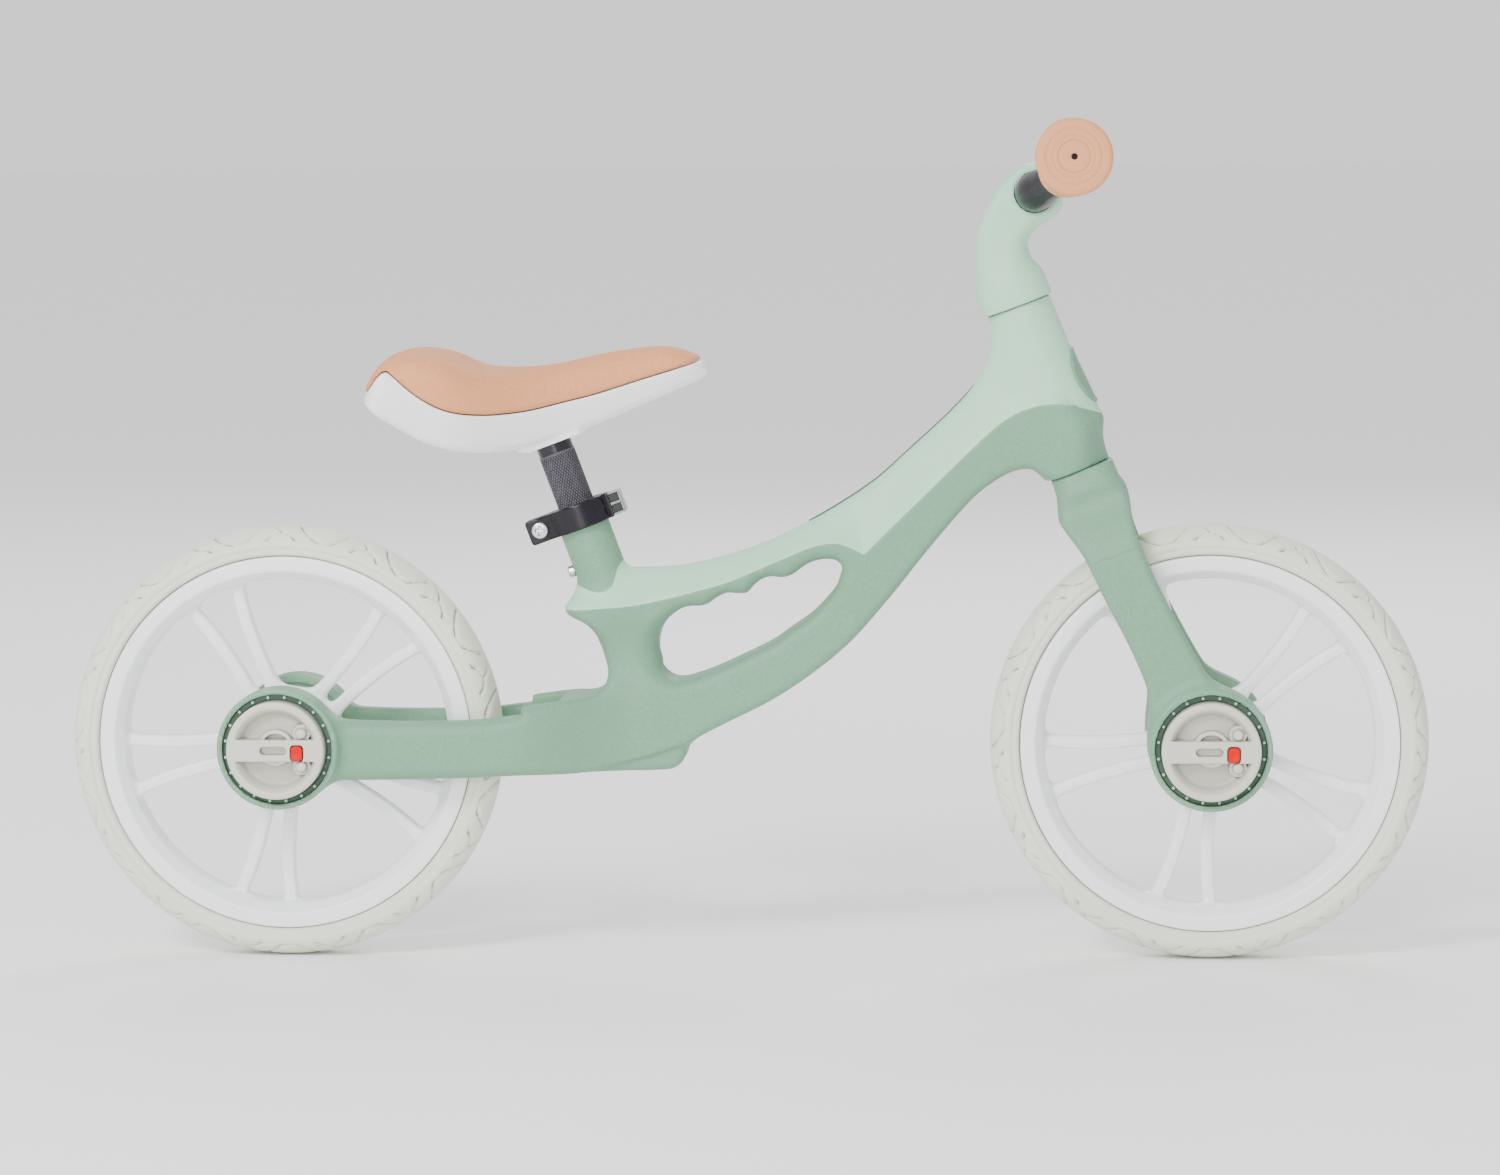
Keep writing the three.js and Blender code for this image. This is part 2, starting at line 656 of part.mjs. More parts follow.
function stem() {
  const [eyeRadius, eyeHalf] = STEM_EYE;
  const outline = [...STEM_REAR, ...arc(BAR_CENTRE, eyeRadius, 120, -35, 6), ...STEM_FRONT];
  const side = sidePlate(outline, -STEM_HALF, STEM_HALF);
  const foot = onSteerAxis(turned([[0, FIT], [HEAD_RADIUS_TOP, FIT], [18, 24], [0, 24]]));
  return cut(
    joined(side, foot, crossRod(eyeRadius, -eyeHalf, eyeHalf, BAR_CENTRE)),
    onSteerAxis(turned(rodProfile(BEYOND, -40, FIT))),
    crossRod(BAR_RADIUS + FIT, -30, 30, BAR_CENTRE),
    onSteerAxis(turned(rodProfile(STEERER_RADIUS + FIT, -10, STEERER_ABOVE + FIT))),
    grubScrew(GRUB_RADIUS + FIT, -30, -14, STEM_GRUB_HEIGHT),
    grubScrew(GRUB_RADIUS + FIT, 10, 30, BAR_GRUB_HEIGHT),
  );
}

// A round bar through a list of points, with a mitred ring at each of them.
function sweep(points, radius, sides) {
  const rings = points.map((point, i) => {
    const ahead = points[Math.min(i + 1, points.length - 1)].clone().sub(point).normalize();
    const behind = point.clone().sub(points[Math.max(i - 1, 0)]).normalize();
    const tangent = ahead.add(behind).normalize();
    const across = new THREE.Vector3(1, 0, 0).cross(tangent).normalize();
    const up = tangent.clone().cross(across);
    return Array.from({ length: sides }, (_, k) => {
      const angle = (2 * Math.PI * k) / sides;
      const spot = point.clone().addScaledVector(across, radius * Math.cos(angle));
      return spot.addScaledVector(up, radius * Math.sin(angle)).toArray();
    });
  });
  return loft(rings);
}

function gripLine(sign) {
  const inner = new THREE.Vector3(GRIP_INNER[0], sign * GRIP_INNER[1], GRIP_INNER[2]);
  const outer = new THREE.Vector3(GRIP_OUTER[0], sign * GRIP_OUTER[1], GRIP_OUTER[2]);
  return { inner, outer, along: outer.clone().sub(inner).normalize() };
}

// One half of the bar: straight in the stem, then up and forward, then straight in the grip.
function barHalf(sign) {
  const { inner, outer, along } = gripLine(sign);
  const root = new THREE.Vector3(BAR_CENTRE[0], sign * BAR_STRAIGHT_HALF, BAR_CENTRE[1]);
  const lead = new THREE.Vector3(BAR_CENTRE[0], sign * (BAR_STRAIGHT_HALF + 28), BAR_CENTRE[1]);
  const bend = new THREE.CubicBezierCurve3(root, lead, inner.clone().addScaledVector(along, -26), inner);
  return [...bend.getPoints(6), outer.addScaledVector(along, -GRIP_END_WALL - FIT)];
}

function handlebar() {
  return sweep([...barHalf(-1).reverse(), ...barHalf(1)], BAR_RADIUS, 14);
}

// A sleeve with a wide flange at its inner end and a wide closed cap at its outer end.
function grip(sign) {
  const { inner, outer, along } = gripLine(sign);
  const length = inner.distanceTo(outer);
  const bore = BAR_RADIUS + 2 * FIT;
  const edge = GRIP_FLANGE_RADIUS;
  const swell = GRIP_RADIUS + 1;
  const floor = length - GRIP_END_WALL;
  const innerFlange = [[bore, 0], [edge - 2, 0], [edge, 2], [edge - 1, 4]];
  const body = [[GRIP_RADIUS, 7], [swell, 30], [swell, 62], [GRIP_RADIUS, length - 14]];
  const cap = [[edge - 2, length - 9], [edge, length - 5], [edge - 2, length - 1.2]];
  const end = [[GRIP_END_RADIUS, length], [0, length], [0, floor], [bore, floor], [bore, 0]];
  const sleeve = turned([...innerFlange, ...body, ...cap, ...end], 18);
  sleeve.applyQuaternion(new THREE.Quaternion().setFromUnitVectors(new THREE.Vector3(0, 1, 0), along));
  sleeve.translate(...inner.toArray());
  return sleeve;
}

function steererTube() {
  const low = -HEAD_LENGTH - STEERER_BELOW;
  const section = ringProfile(STEERER_RADIUS - STEERER_WALL, STEERER_RADIUS, low, STEERER_ABOVE);
  return onSteerAxis(turned(section, 20));
}

piece('fork', fork(), darkPaint);
piece('steerer_tube', steererTube(), steel);
piece('stem', stem(), lightPaint);
piece('stem_grub_screw', grubScrew(GRUB_RADIUS, -21.5, -STEERER_RADIUS - FIT, STEM_GRUB_HEIGHT), zinc);
piece('bar_grub_screw', grubScrew(GRUB_RADIUS, 17.5, 22.9, BAR_GRUB_HEIGHT), zinc);
piece('handlebar', handlebar(), blackPaint);
piece('right_grip', grip(-1), peach);
piece('left_grip', grip(1), peach);

// ---- wheels ----------------------------------------------------------------------------

function tyre() {
  const flange = RIM_FLANGE_RADIUS + 0.5;
  const side = [
    [TYRE_SEAT_RADIUS, 13.5], [flange, 13.5], [flange + 0.1, 18], [127, TYRE_HALF_WIDTH],
    [133.5, 16.5], [137.5, 8.5], [TYRE_RADIUS, 0],
  ];
  const other = side.slice(0, -1).map(([r, y]) => [r, -y]).reverse();
  return turned([...side, ...other, side[0]], 40);
}

// The two spokes of a pair start close together at the hub and part towards the rim.
const SPOKE_OUTER_EDGE = [[47, 12], [72, 14.2], [102.4, 20.8]];
const SPOKE_INNER_EDGE = [[51, 4], [72, 6.4], [103.6, 13.6]];
const PAIR_PITCH = 360 / SPOKE_PAIRS;

function around(points, degrees) {
  const turn = THREE.MathUtils.degToRad(degrees);
  const [cosine, sine] = [Math.cos(turn), Math.sin(turn)];
  return points.map(([u, v]) => [u * cosine - v * sine, u * sine + v * cosine]);
}

function mirrored(points) {
  return points.map(([u, v]) => [u, -v]).reverse();
}

// The opening between one pair and the next: a rim arc outside and a hollow arc inside.
function wideGap(pairAngle) {
  const start = smooth(SPOKE_OUTER_EDGE, 3);
  const end = around(mirrored(start), PAIR_PITCH);
  const rim = arc([0, 0], RIM_INNER_RADIUS, 13.5, PAIR_PITCH - 13.5, 5);
  const hollow = arc([0, 0], 38.5, PAIR_PITCH - 22, 22, 2);
  return around([...start, ...rim, ...end, ...hollow], pairAngle);
}

// The narrow opening between the two spokes of a pair, round at the hub.
function narrowGap(pairAngle) {
  const edge = smooth(SPOKE_INNER_EDGE, 2);
  const rim = arc([0, 0], RIM_INNER_RADIUS, 6, -6, 1);
  const foot = arc([51, 0], 4, 270, 90, 2).slice(1, -1);
  return around([...edge, ...rim, ...mirrored(edge), ...foot], pairAngle);
}

// The ring that carries the tyre: a channel with two flanges and a slanted inner face.
function rimRing() {
  const seat = TYRE_SEAT_RADIUS - FIT;
  const [chamferRadius, innerHalf] = RIM_CHAMFER;
  const half = [
    [RIM_INNER_RADIUS, innerHalf], [chamferRadius, RIM_HALF_WIDTH], [RIM_FLANGE_RADIUS, RIM_HALF_WIDTH],
    [RIM_FLANGE_RADIUS, RIM_SEAT_HALF], [seat, RIM_SEAT_HALF],
  ].map(([r, y]) => [r, -y]);
  return turned([...twoSides(half), half[0]], 40);
}

function wheelRim() {
  const angles = Array.from({ length: SPOKE_PAIRS }, (_, k) => FIRST_PAIR_ANGLE + PAIR_PITCH * k);
  const gaps = [...angles.map(wideGap), ...angles.map(narrowGap)];
  const disc = arc([0, 0], RIM_INNER_RADIUS + 2, 0, 351, 39);
  const [plateRadius, plateHalf] = HUB_PLATE;
  return cut(
    joined(
      sidePlate(disc, -SPOKE_PLATE_HALF, SPOKE_PLATE_HALF, gaps),
      solid(rimRing()),
      solid(turned(rodProfile(HUB_RADIUS, -HUB_HALF_LENGTH, HUB_HALF_LENGTH), 20)),
      solid(turned(rodProfile(plateRadius, -plateHalf, plateHalf), 20)),
    ),
    solid(turned(rodProfile(BEARING_RADIUS + FIT, -30, 30), 16)),
  );
}

function bearing(side) {
  const low = side > 0 ? HUB_HALF_LENGTH - BEARING_WIDTH : -HUB_HALF_LENGTH;
  return turned(ringProfile(AXLE_RADIUS + FIT, BEARING_RADIUS, low, low + BEARING_WIDTH), 16);
}

// A hub cover on the left side: a disc with a sunk floor, a grab bar across it and a boss.
function hubCover() {
  const low = CUP_FLOOR + FIT;
  const rim = [[KNOB_RADIUS, KNOB_FACE - 1.5], [KNOB_RADIUS - 1.5, KNOB_FACE], [KNOB_RADIUS - 4, KNOB_FACE]];
  const floor = [[KNOB_RADIUS - 5, KNOB_FLOOR], [0, KNOB_FLOOR]];
  const disc = solid(turned([[0, low], [KNOB_RADIUS, low], ...rim, ...floor], 28));
  const [barHalf, barHalfHeight] = KNOB_BAR_HALF;
  const barOutline = twoSides([[-barHalf, barHalfHeight], [barHalf, barHalfHeight]]);
  const bar = sidePlate(barOutline, CUP_FLOOR + 2, KNOB_FACE);
  const boss = solid(turned(rodProfile(KNOB_BOSS_RADIUS, CUP_FLOOR + 2, KNOB_FACE - 1.5), 12));
  const axleHole = solid(turned(rodProfile(AXLE_RADIUS + FIT, CUP_FLOOR, AXLE_HALF_LENGTH + FIT), 12));
  return cut(joined(disc, bar, boss), axleHole);
}

function buttonBox(grow, yLow, yHigh) {
  const [halfWidth, halfHeight] = BUTTON_SIZE.map((size) => size / 2 + grow);
  const [x, z] = BUTTON_OFFSET;
  const half = [[x - halfWidth, halfHeight], [x + halfWidth, halfHeight]];
  return sidePlate(twoSides(half).map(([px, pz]) => [px, pz + z]), yLow, yHigh);
}

// The right side's cover is the release knob: it also has a slot and a pocket for the button.
function releaseKnob() {
  const outside = -KNOB_FACE - 5;
  const pocketFloor = BUTTON_DEPTH - BUTTON_PROUD + BUTTON_TRAVEL + FIT - KNOB_FACE;
  const pocket = buttonBox(FIT, outside, pocketFloor);
  const { from, to, half, depth } = KNOB_SLOT;
  const slot = sidePlate(twoSides([[from, half], [to, half]]), outside, depth - KNOB_FACE);
  const mirroredCover = solid(geometryOf(hubCover()).scale(1, -1, 1));
  return cut(mirroredCover, pocket, slot);
}

function releaseButton() {
  const face = -KNOB_FACE - BUTTON_PROUD;
  return buttonBox(0, face, face + BUTTON_DEPTH);
}

function wheelSet(name, axle) {
  const group = new THREE.Group();
  group.position.set(axle[0], 0, axle[1]);
  bike.add(group);
  piece(`${name}_tyre`, tyre(), foamTyre, group);
  piece(`${name}_rim`, wheelRim(), whitePlastic, group);
  piece(`${name}_hub_bearing_right`, bearing(-1), steel, group);
  piece(`${name}_hub_bearing_left`, bearing(1), steel, group);
  const [spacerRadius, spacerHalf] = HUB_SPACER;
  const spacer = turned(ringProfile(AXLE_RADIUS + FIT, spacerRadius, -spacerHalf, spacerHalf), 12);
  piece(`${name}_hub_spacer`, spacer, steel, group);
  const axleRod = turned(rodProfile(AXLE_RADIUS, -AXLE_HALF_LENGTH, AXLE_HALF_LENGTH), 12);
  piece(`${name}_axle`, axleRod, steel, group);
  for (const [side, low] of [['right', -WHEEL_SLOT_HALF + FIT], ['left', HUB_HALF_LENGTH + FIT]]) {
    const high = low + WHEEL_SLOT_HALF - HUB_HALF_LENGTH - 2 * FIT;
    const washer = turned(ringProfile(AXLE_RADIUS + FIT, WASHER_RADIUS, low, high), 12);
    piece(`${name}_axle_washer_${side}`, washer, steel, group);
  }
  piece(`${name}_release_knob`, releaseKnob(), beige, group);
  piece(`${name}_release_button`, releaseButton(), orange, group);
  piece(`${name}_axle_cover_left`, hubCover(), beige, group);
}

wheelSet('rear', REAR_AXLE);
wheelSet('front', FRONT_AXLE);

export default bike;
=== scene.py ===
"""Looks of a balance bike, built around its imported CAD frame.

Shapes are worked out in millimetres and placed from the frame's joints; objects are made in metres.
+X is forward, +Y is the rider's left, +Z is up.
"""
import json
import math

import bpy
import numpy as np
from mathutils import Matrix, Vector


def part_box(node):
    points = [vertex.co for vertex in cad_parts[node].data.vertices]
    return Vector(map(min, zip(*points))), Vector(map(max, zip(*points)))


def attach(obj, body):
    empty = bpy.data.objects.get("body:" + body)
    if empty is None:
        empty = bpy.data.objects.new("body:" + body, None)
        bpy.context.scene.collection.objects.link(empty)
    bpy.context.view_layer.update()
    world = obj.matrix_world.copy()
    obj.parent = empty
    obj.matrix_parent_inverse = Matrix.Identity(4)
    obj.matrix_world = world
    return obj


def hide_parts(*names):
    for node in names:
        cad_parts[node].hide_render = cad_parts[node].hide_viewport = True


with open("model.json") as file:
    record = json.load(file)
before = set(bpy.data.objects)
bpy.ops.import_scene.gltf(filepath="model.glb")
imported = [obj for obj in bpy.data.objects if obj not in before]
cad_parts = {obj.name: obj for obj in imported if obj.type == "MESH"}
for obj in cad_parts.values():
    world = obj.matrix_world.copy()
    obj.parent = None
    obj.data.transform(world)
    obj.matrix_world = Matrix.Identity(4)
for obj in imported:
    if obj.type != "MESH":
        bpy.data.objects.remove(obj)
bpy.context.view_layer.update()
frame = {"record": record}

MM = 0.001
GAP = 0.3  # clearance between pieces that fit together
COARSE = 1.0  # grid steps grow by this while trying things

# ---- places taken from the frame ---------------------------------------------------------

JOINTS = {joint["name"]: joint for joint in frame["record"]["behaviour"]["joints"]}


def joint_place(name):
    return np.array(JOINTS[name]["pos_m"]) / MM


def node_box(name):
    low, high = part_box(name)
    return np.array(low) / MM, np.array(high) / MM


REAR_AXLE = joint_place("rear_wheel_spin")
FRONT_AXLE = joint_place("front_wheel_spin")
HEAD_TOP = joint_place("steering_turn")
STEER_UP = np.array(JOINTS["steering_turn"]["axis"])
STEER_FORWARD = np.array([STEER_UP[2], 0.0, -STEER_UP[0]])
SEAT_UP = np.array(JOINTS["saddle_height"]["axis"])
SEAT_FORWARD = np.array([SEAT_UP[2], 0.0, -SEAT_UP[0]])
LEFT = np.array([0.0, 1.0, 0.0])
SEAT_MARK = np.array([-101.5, 0.0, 274.0])  # a point on the seat tube's axis, below its top

# ---- sizes, in millimetres ---------------------------------------------------------------

RIM_INNER_RADIUS = 104.5
HUB_RADIUS = 33.5
BARREL_RADIUS = 19.0
BEARING_RADIUS = 13.0
SPOKE_PAIRS = 5
FIRST_PAIR_ANGLE = 45.0
WHEEL_SLOT_HALF = 27.0
STAY_SLOT_RADIUS = 178.0
FORK_SLOT_RADIUS = 147.0
CUP_RADIUS = 38.5
CUP_FACE = 50.3
CUP_RECESS_RADIUS = 35.0
CUP_FLOOR = 44.0
CUP_RIBS = 20
KNOB_RADIUS = 31.0
KNOB_FACE = 57.5
HEAD_LENGTH = 110.0
HEAD_RADIUS_TOP = 21.0
BODY_HALF = 24.0
STAY_HALF = 46.0
SEAT_TUBE_RADIUS = 16.0
SEAT_TUBE_FOOT = -95.0
SEAT_TUBE_TOP = 17.0
POST_RADIUS = 11.75
POST_BORE_DEPTH = -116.0
BAR_RADIUS = 11.1
CLAMPED_RADIUS = 12.4  # the bar swells where the stem holds it
BAR_CENTRE = np.array([184.2, 0.0, 486.2])
AXLE_RADIUS = 5.0
TYRE_SEAT_RADIUS = 112.0
STEERER_RADIUS = 14.3
STEERER_ABOVE = 35.0
HEAD_BORE = 15.3  # clears the steerer
INLAY_SPAN = (41, 145)
INLAY_HALF = 4.6
BADGE_HEIGHT = -55.0
BADGE_HALF_LENGTH = 19.5
BADGE_HALF_ANGLE = 41.0
REAR_GRUB_HEIGHT = 18.0
BAR_GRUB_HEIGHT = 63.0
GRUB_HOLE_RADIUS = 3.3
KNOB_FLOOR = 48.4
DISH_RADIUS = 26.8  # of a knob's dish at its face
DISH_TAPER = 4.2
HANDLE_HALF = 6.9
BOSS_RADIUS = 10.2
PIN_SPOTS = ((16.4, 10.8), (16.4, -10.2))
PEG_CIRCLE_RADIUS = 33.3
BUTTON_CENTRE = (13.9, -1.6)
BUTTON_HALF = (3.55, 4.7)
BUTTON_PROUD = 1.0
BUTTON_FLOOR = 51.2
AXLE_POCKET = 51.3  # how far out a knob is bored for the axle's end
COLLAR_SPAN = (1.2, 17.5)
CLAMP_SCREW = (-26.7, 9.35)
KNURL_SPAN = (-56.0, 52.0)
KNURL_COUNT = 40
KNURL_PITCH = 3.2
KNURL_RISE = 0.3  # how far the knurled band stands over the plain ends
FLANGE_SPAN = (59.0, 63.0)
FLANGE_HALF = (17.9, 15.3)
SKIRT_FOOT = 58.2  # lower end of the shell's skirt about the flange
SCREW_SEAT = 60.6
SCREW_SPOTS = ((-14, -11), (14, -11), (-14, 11), (14, 11))
GRIP_INNER = np.array([203.9, 100.0, 501.3])
GRIP_OUTER = np.array([208.4, 195.0, 509.9])


# ---- signed distance tools ---------------------------------------------------------------


def smooth_min(a, b, k):
    h = np.clip(0.5 + 0.5 * (b - a) / k, 0, 1)
    return b + (a - b) * h - k * h * (1 - h)


def smooth_max(a, b, k):
    return -smooth_min(-a, -b, k)


def ramp(value, start, end):
    """0 before start, 1 after end, smooth between; start may be the larger."""
    t = np.clip((value - start) / (end - start), 0, 1)
    return t * t * (3 - 2 * t)


def spline(points, steps=8):
    """Points along a smooth curve through the given points."""
    p = np.array(points, float)
    ends = np.vstack([2 * p[0] - p[1], p, 2 * p[-1] - p[-2]])
    t = np.linspace(0, 1, steps, endpoint=False)[:, None]
    runs = []
    for a, b, c, d in zip(ends, ends[1:], ends[2:], ends[3:]):
        bend, twist = 2 * a - 5 * b + 4 * c - d, 3 * b - a - 3 * c + d
        runs.append(0.5 * (2 * b + (c - a) * t + bend * t**2 + twist * t**3))
    return np.vstack(runs + [p[-1:]])


def curve_at(curve, x):
    """The second coordinate of a curve where its first is x."""
    return np.interp(x, curve[:, 0], curve[:, 1])


def arc(centre, radius, start, end, steps=8):
    angle = np.radians(np.linspace(start, end, steps + 1))
    return np.column_stack([centre[0] + radius * np.cos(angle), centre[1] + radius * np.sin(angle)])


class Outline:
    """Signed distance to a closed outline in a plane, negative inside, kept on a fine raster."""

    def __init__(self, points, cell=0.75, margin=24.0):
        p = np.array(points, float)
        self.low, self.cell = p.min(0) - margin, cell
        size = np.ceil((p.max(0) + margin - self.low) / cell).astype(int) + 1
        a = self.low[0] + cell * np.arange(size[0])[:, None]
        b = self.low[1] + cell * np.arange(size[1])[None, :]
        best = np.full(size, 1e9)
        inside = np.zeros(size, bool)
        for (a0, b0), (a1, b1) in zip(p, np.roll(p, -1, 0)):
            da, db = a1 - a0, b1 - b0
            length = max(da * da + db * db, 1e-12)
            t = np.clip(((a - a0) * da + (b - b0) * db) / length, 0, 1)
            best = np.minimum(best, (a - a0 - t * da) ** 2 + (b - b0 - t * db) ** 2)
            if b0 != b1:
                crosses = ((b0 > b) != (b1 > b)) & (a < a0 + (b - b0) * da / db)
                inside ^= crosses
        self.field = np.where(inside, -1, 1) * np.sqrt(best)

    def __call__(self, a, b):
        top = np.array(self.field.shape) - 2
        fa = (a - self.low[0]) / self.cell
        fb = (b - self.low[1]) / self.cell
        ia = np.clip(np.floor(fa).astype(int), 0, top[0])
        ib = np.clip(np.floor(fb).astype(int), 0, top[1])
        ta, tb = np.clip(fa - ia, 0, 1), np.clip(fb - ib, 0, 1)
        f = self.field
        near = f[ia, ib] * (1 - tb) + f[ia, ib + 1] * tb
        far = f[ia + 1, ib] * (1 - tb) + f[ia + 1, ib + 1] * tb
        beyond_a = np.maximum(np.maximum(-fa, fa - top[0] - 1), 0)
        beyond_b = np.maximum(np.maximum(-fb, fb - top[1] - 1), 0)
        return near * (1 - ta) + far * ta + (beyond_a + beyond_b) * self.cell


def span(value, low, high):
    """Signed distance to the stretch from low to high, negative inside it."""
    return np.abs(value - (low + high) / 2) - (high - low) / 2


def rounded(side, thickness, radius):
    """A plate with rounded edges: side and thickness are signed distances, negative inside."""
    a, b = side + radius, thickness + radius
    return np.hypot(np.maximum(a, 0), np.maximum(b, 0)) + np.minimum(np.maximum(a, b), 0) - radius


def oblong(a, b, half, radius):
    """A rectangle about the origin of a plane, with rounded corners."""
    return rounded(np.abs(a) - half[0], np.abs(b) - half[1], radius)


def about(x, y, z, mark, up):
    """Height along an axis that leans in the XZ plane, distance forward of it and distance from it."""
    dx, dz = x - mark[0], z - mark[2]
    height = dx * up[0] + dz * up[2]
    forward = dx * up[2] - dz * up[0]
    return height, forward, np.hypot(forward, y)


def rod(radial, height, radius, low, high, edge=1.0):
    """A round bar with rounded ends between two heights on its axis."""
    return rounded(radial - radius, span(height, low, high), edge)


# ---- surfaces from signed distances ------------------------------------------------------


def surface_net(field, low, high, step):
    """Vertices and quads on field = 0. The grid is symmetric about y = 0 where low and high are."""
    step = step * COARSE
    axes = []
    for a, b in zip(low, high):
        count = int(math.ceil((b - a) / step / 2)) * 2
        axes.append((a + b) / 2 + (np.arange(count) - (count - 1) / 2) * step)
    values = field(axes[0][:, None, None], axes[1][None, :, None], axes[2][None, None, :])
    values = np.broadcast_to(values, [len(axis) for axis in axes])
    inside = values < 0
    shape = np.array(values.shape)
    cells, points, quads = [], [], []
    for axis in range(3):
        here = [slice(None)] * 3
        there = [slice(None)] * 3
        here[axis], there[axis] = slice(0, -1), slice(1, None)
        edge = np.argwhere(inside[tuple(here)] != inside[tuple(there)])
        step_to = np.zeros(3, int)
        step_to[axis] = 1
        v0 = values[tuple(edge.T)]
        v1 = values[tuple((edge + step_to).T)]
        spot = edge.astype(float)
        spot[:, axis] += v0 / (v0 - v1)
        u, w = [(1, 2), (2, 0), (0, 1)][axis]
        ring = []
        for du, dw in ((0, 0), (-1, 0), (-1, -1), (0, -1)):
            cell = edge.copy()
            cell[:, u] += du
            cell[:, w] += dw
            ring.append(cell @ np.array([shape[1] * shape[2], shape[2], 1]))
            cells.append(ring[-1])
            points.append(spot)
        quad = np.stack(ring, 1)
        quads.append(np.where((v0 < 0)[:, None], quad, quad[:, ::-1]))
    ids, index = np.unique(np.concatenate(cells), return_inverse=True)
    total = np.bincount(index)
    spots = np.concatenate(points)
    verts = np.stack([np.bincount(index, spots[:, i]) / total for i in range(3)], 1)
    start = np.array([axis[0] for axis in axes])
    return start + verts * step, np.searchsorted(ids, np.concatenate(quads)), step


def gradient(field, verts, size):
    slopes = []
    for axis in range(3):
        shift = np.zeros(3)
        shift[axis] = size
        slopes.append((field(*(verts + shift).T) - field(*(verts - shift).T)) / (2 * size))
    return np.stack(slopes, 1)


def settle(field, verts, step, rounds=4):
    """Moves vertices onto field = 0 along its slope."""
    for _ in range(rounds):
        slope = gradient(field, verts, 0.05)
        move = field(*verts.T)[:, None] * slope / np.maximum((slope**2).sum(1), 0.05)[:, None]
        size = np.linalg.norm(move, axis=1, keepdims=True)
        verts = verts - move * np.minimum(1, 0.5 * step / np.maximum(size, 1e-9))
    return verts


def carve(field, low, high, step):
    """A smooth closed mesh of field = 0 in the box from low to high."""
    verts, quads, step = surface_net(field, low, high, step)
    return settle(field, verts, step), quads


def right_half(verts, faces):
    """The faces on the -Y side of a symmetric mesh, as triangles, with their own vertices."""
    kept = faces[verts[faces][:, :, 1].mean(1) < 0]
    triangles = np.vstack([kept[:, [0, 1, 2]], kept[:, [0, 2, 3]]])
    used, index = np.unique(triangles, return_inverse=True)
    verts = verts[used].copy()
    verts[np.abs(verts[:, 1]) < 1e-6, 1] = 0
    return verts, index.reshape(-1, 3)


def divide(verts, triangles, field, border, step):
    """Cuts triangles along border = 0 and returns the parts where border is above and below it."""
    level = border(*verts.T)
    slope = gradient(border, verts, 0.05)
    near = np.abs(level) < 0.3 * step * np.linalg.norm(slope, axis=1)
    spots = verts[near]
    for _ in range(4):
        slope = gradient(border, spots, 0.05)
        spots = spots - border(*spots.T)[:, None] * slope / np.maximum((slope**2).sum(1), 0.05)[:, None]
        spots = settle(field, spots, step, 1)
    on_middle = verts[near][:, 1] == 0
    spots[on_middle, 1] = 0
    verts[near] = spots
    level[near] = 0
    sign = np.sign(level)
    signs = sign[triangles]
    crossing = (signs.max(1) > 0) & (signs.min(1) < 0)
    above = list(map(tuple, triangles[~crossing & (signs.max(1) > 0)]))
    below = list(map(tuple, triangles[~crossing & (signs.max(1) <= 0)]))
    verts = list(map(tuple, verts))
    cuts = {}

    def cut(a, b):
        key = (min(a, b), max(a, b))
        if key not in cuts:
            t = level[a] / (level[a] - level[b])
            spot = (1 - t) * np.array(verts[a]) + t * np.array(verts[b])
            cuts[key] = len(verts)
            verts.append(tuple(spot))
        return cuts[key]

    for triangle in triangles[crossing]:
        loop = []
        for a, b in zip(triangle, np.roll(triangle, -1)):
            loop.append((a, sign[a]))
            if sign[a] * sign[b] < 0:
                loop.append((cut(a, b), 0))
        for wanted, part in ((1, above), (-1, below)):
            ring = [vertex for vertex, side in loop if side in (0, wanted)]
            part.extend((ring[0], ring[i], ring[i + 1]) for i in range(1, len(ring) - 1))
    verts = np.array(verts)
    return verts, np.array(above), np.array(below)


def mirror_closed(verts, triangles):
    """Mirrors a half about y = 0 and closes what was cut with straight strips across."""
    used, index = np.unique(triangles, return_inverse=True)
    verts, triangles = verts[used], index.reshape(-1, 3)
    middle = verts[:, 1] == 0
    twin = np.arange(len(verts))
    twin[~middle] = len(verts) + np.arange((~middle).sum())
    edges = {}
    for a, b, c in triangles:
        edges[(a, b)] = edges[(b, c)] = edges[(c, a)] = True
    faces = [triangles, twin[triangles][:, ::-1]]
    strips = []
    for a, b in edges:
        if (b, a) in edges or (middle[a] and middle[b]):
            continue
        if not middle[a]:
            strips.append((b, a, twin[a]))
        if not middle[b]:
            strips.append((b, twin[a], twin[b]))
    if strips:
        faces.append(np.array(strips))
    mirrored = verts[~middle] * [1, -1, 1]
    return np.vstack([verts, mirrored]), np.vstack(faces)


# ---- pieces ------------------------------------------------------------------------------


def piece(name, verts, faces, material, body, nodes=(), angle=35.0):
    """A mesh object in metres that rides on a body and stands for CAD nodes."""
    mesh = bpy.data.meshes.new(name)
    mesh.from_pydata((np.asarray(verts) * MM).tolist(), [], [list(map(int, face)) for face in faces])
    mesh.validate()
    mesh.materials.append(material)
    obj = bpy.data.objects.new(name, mesh)
    bpy.context.scene.collection.objects.link(obj)
    mesh.shade_smooth()
    mesh.set_sharp_from_angle(angle=math.radians(angle))
    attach(obj, body)
    if nodes:
        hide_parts(*nodes)
    return obj


def carved(name, field, low, high, step, material, body, node):
    """The piece for one CAD node, carved from a field."""
    verts, quads = carve(field, low, high, step)
    return piece(name, verts, quads, material, body, [node])


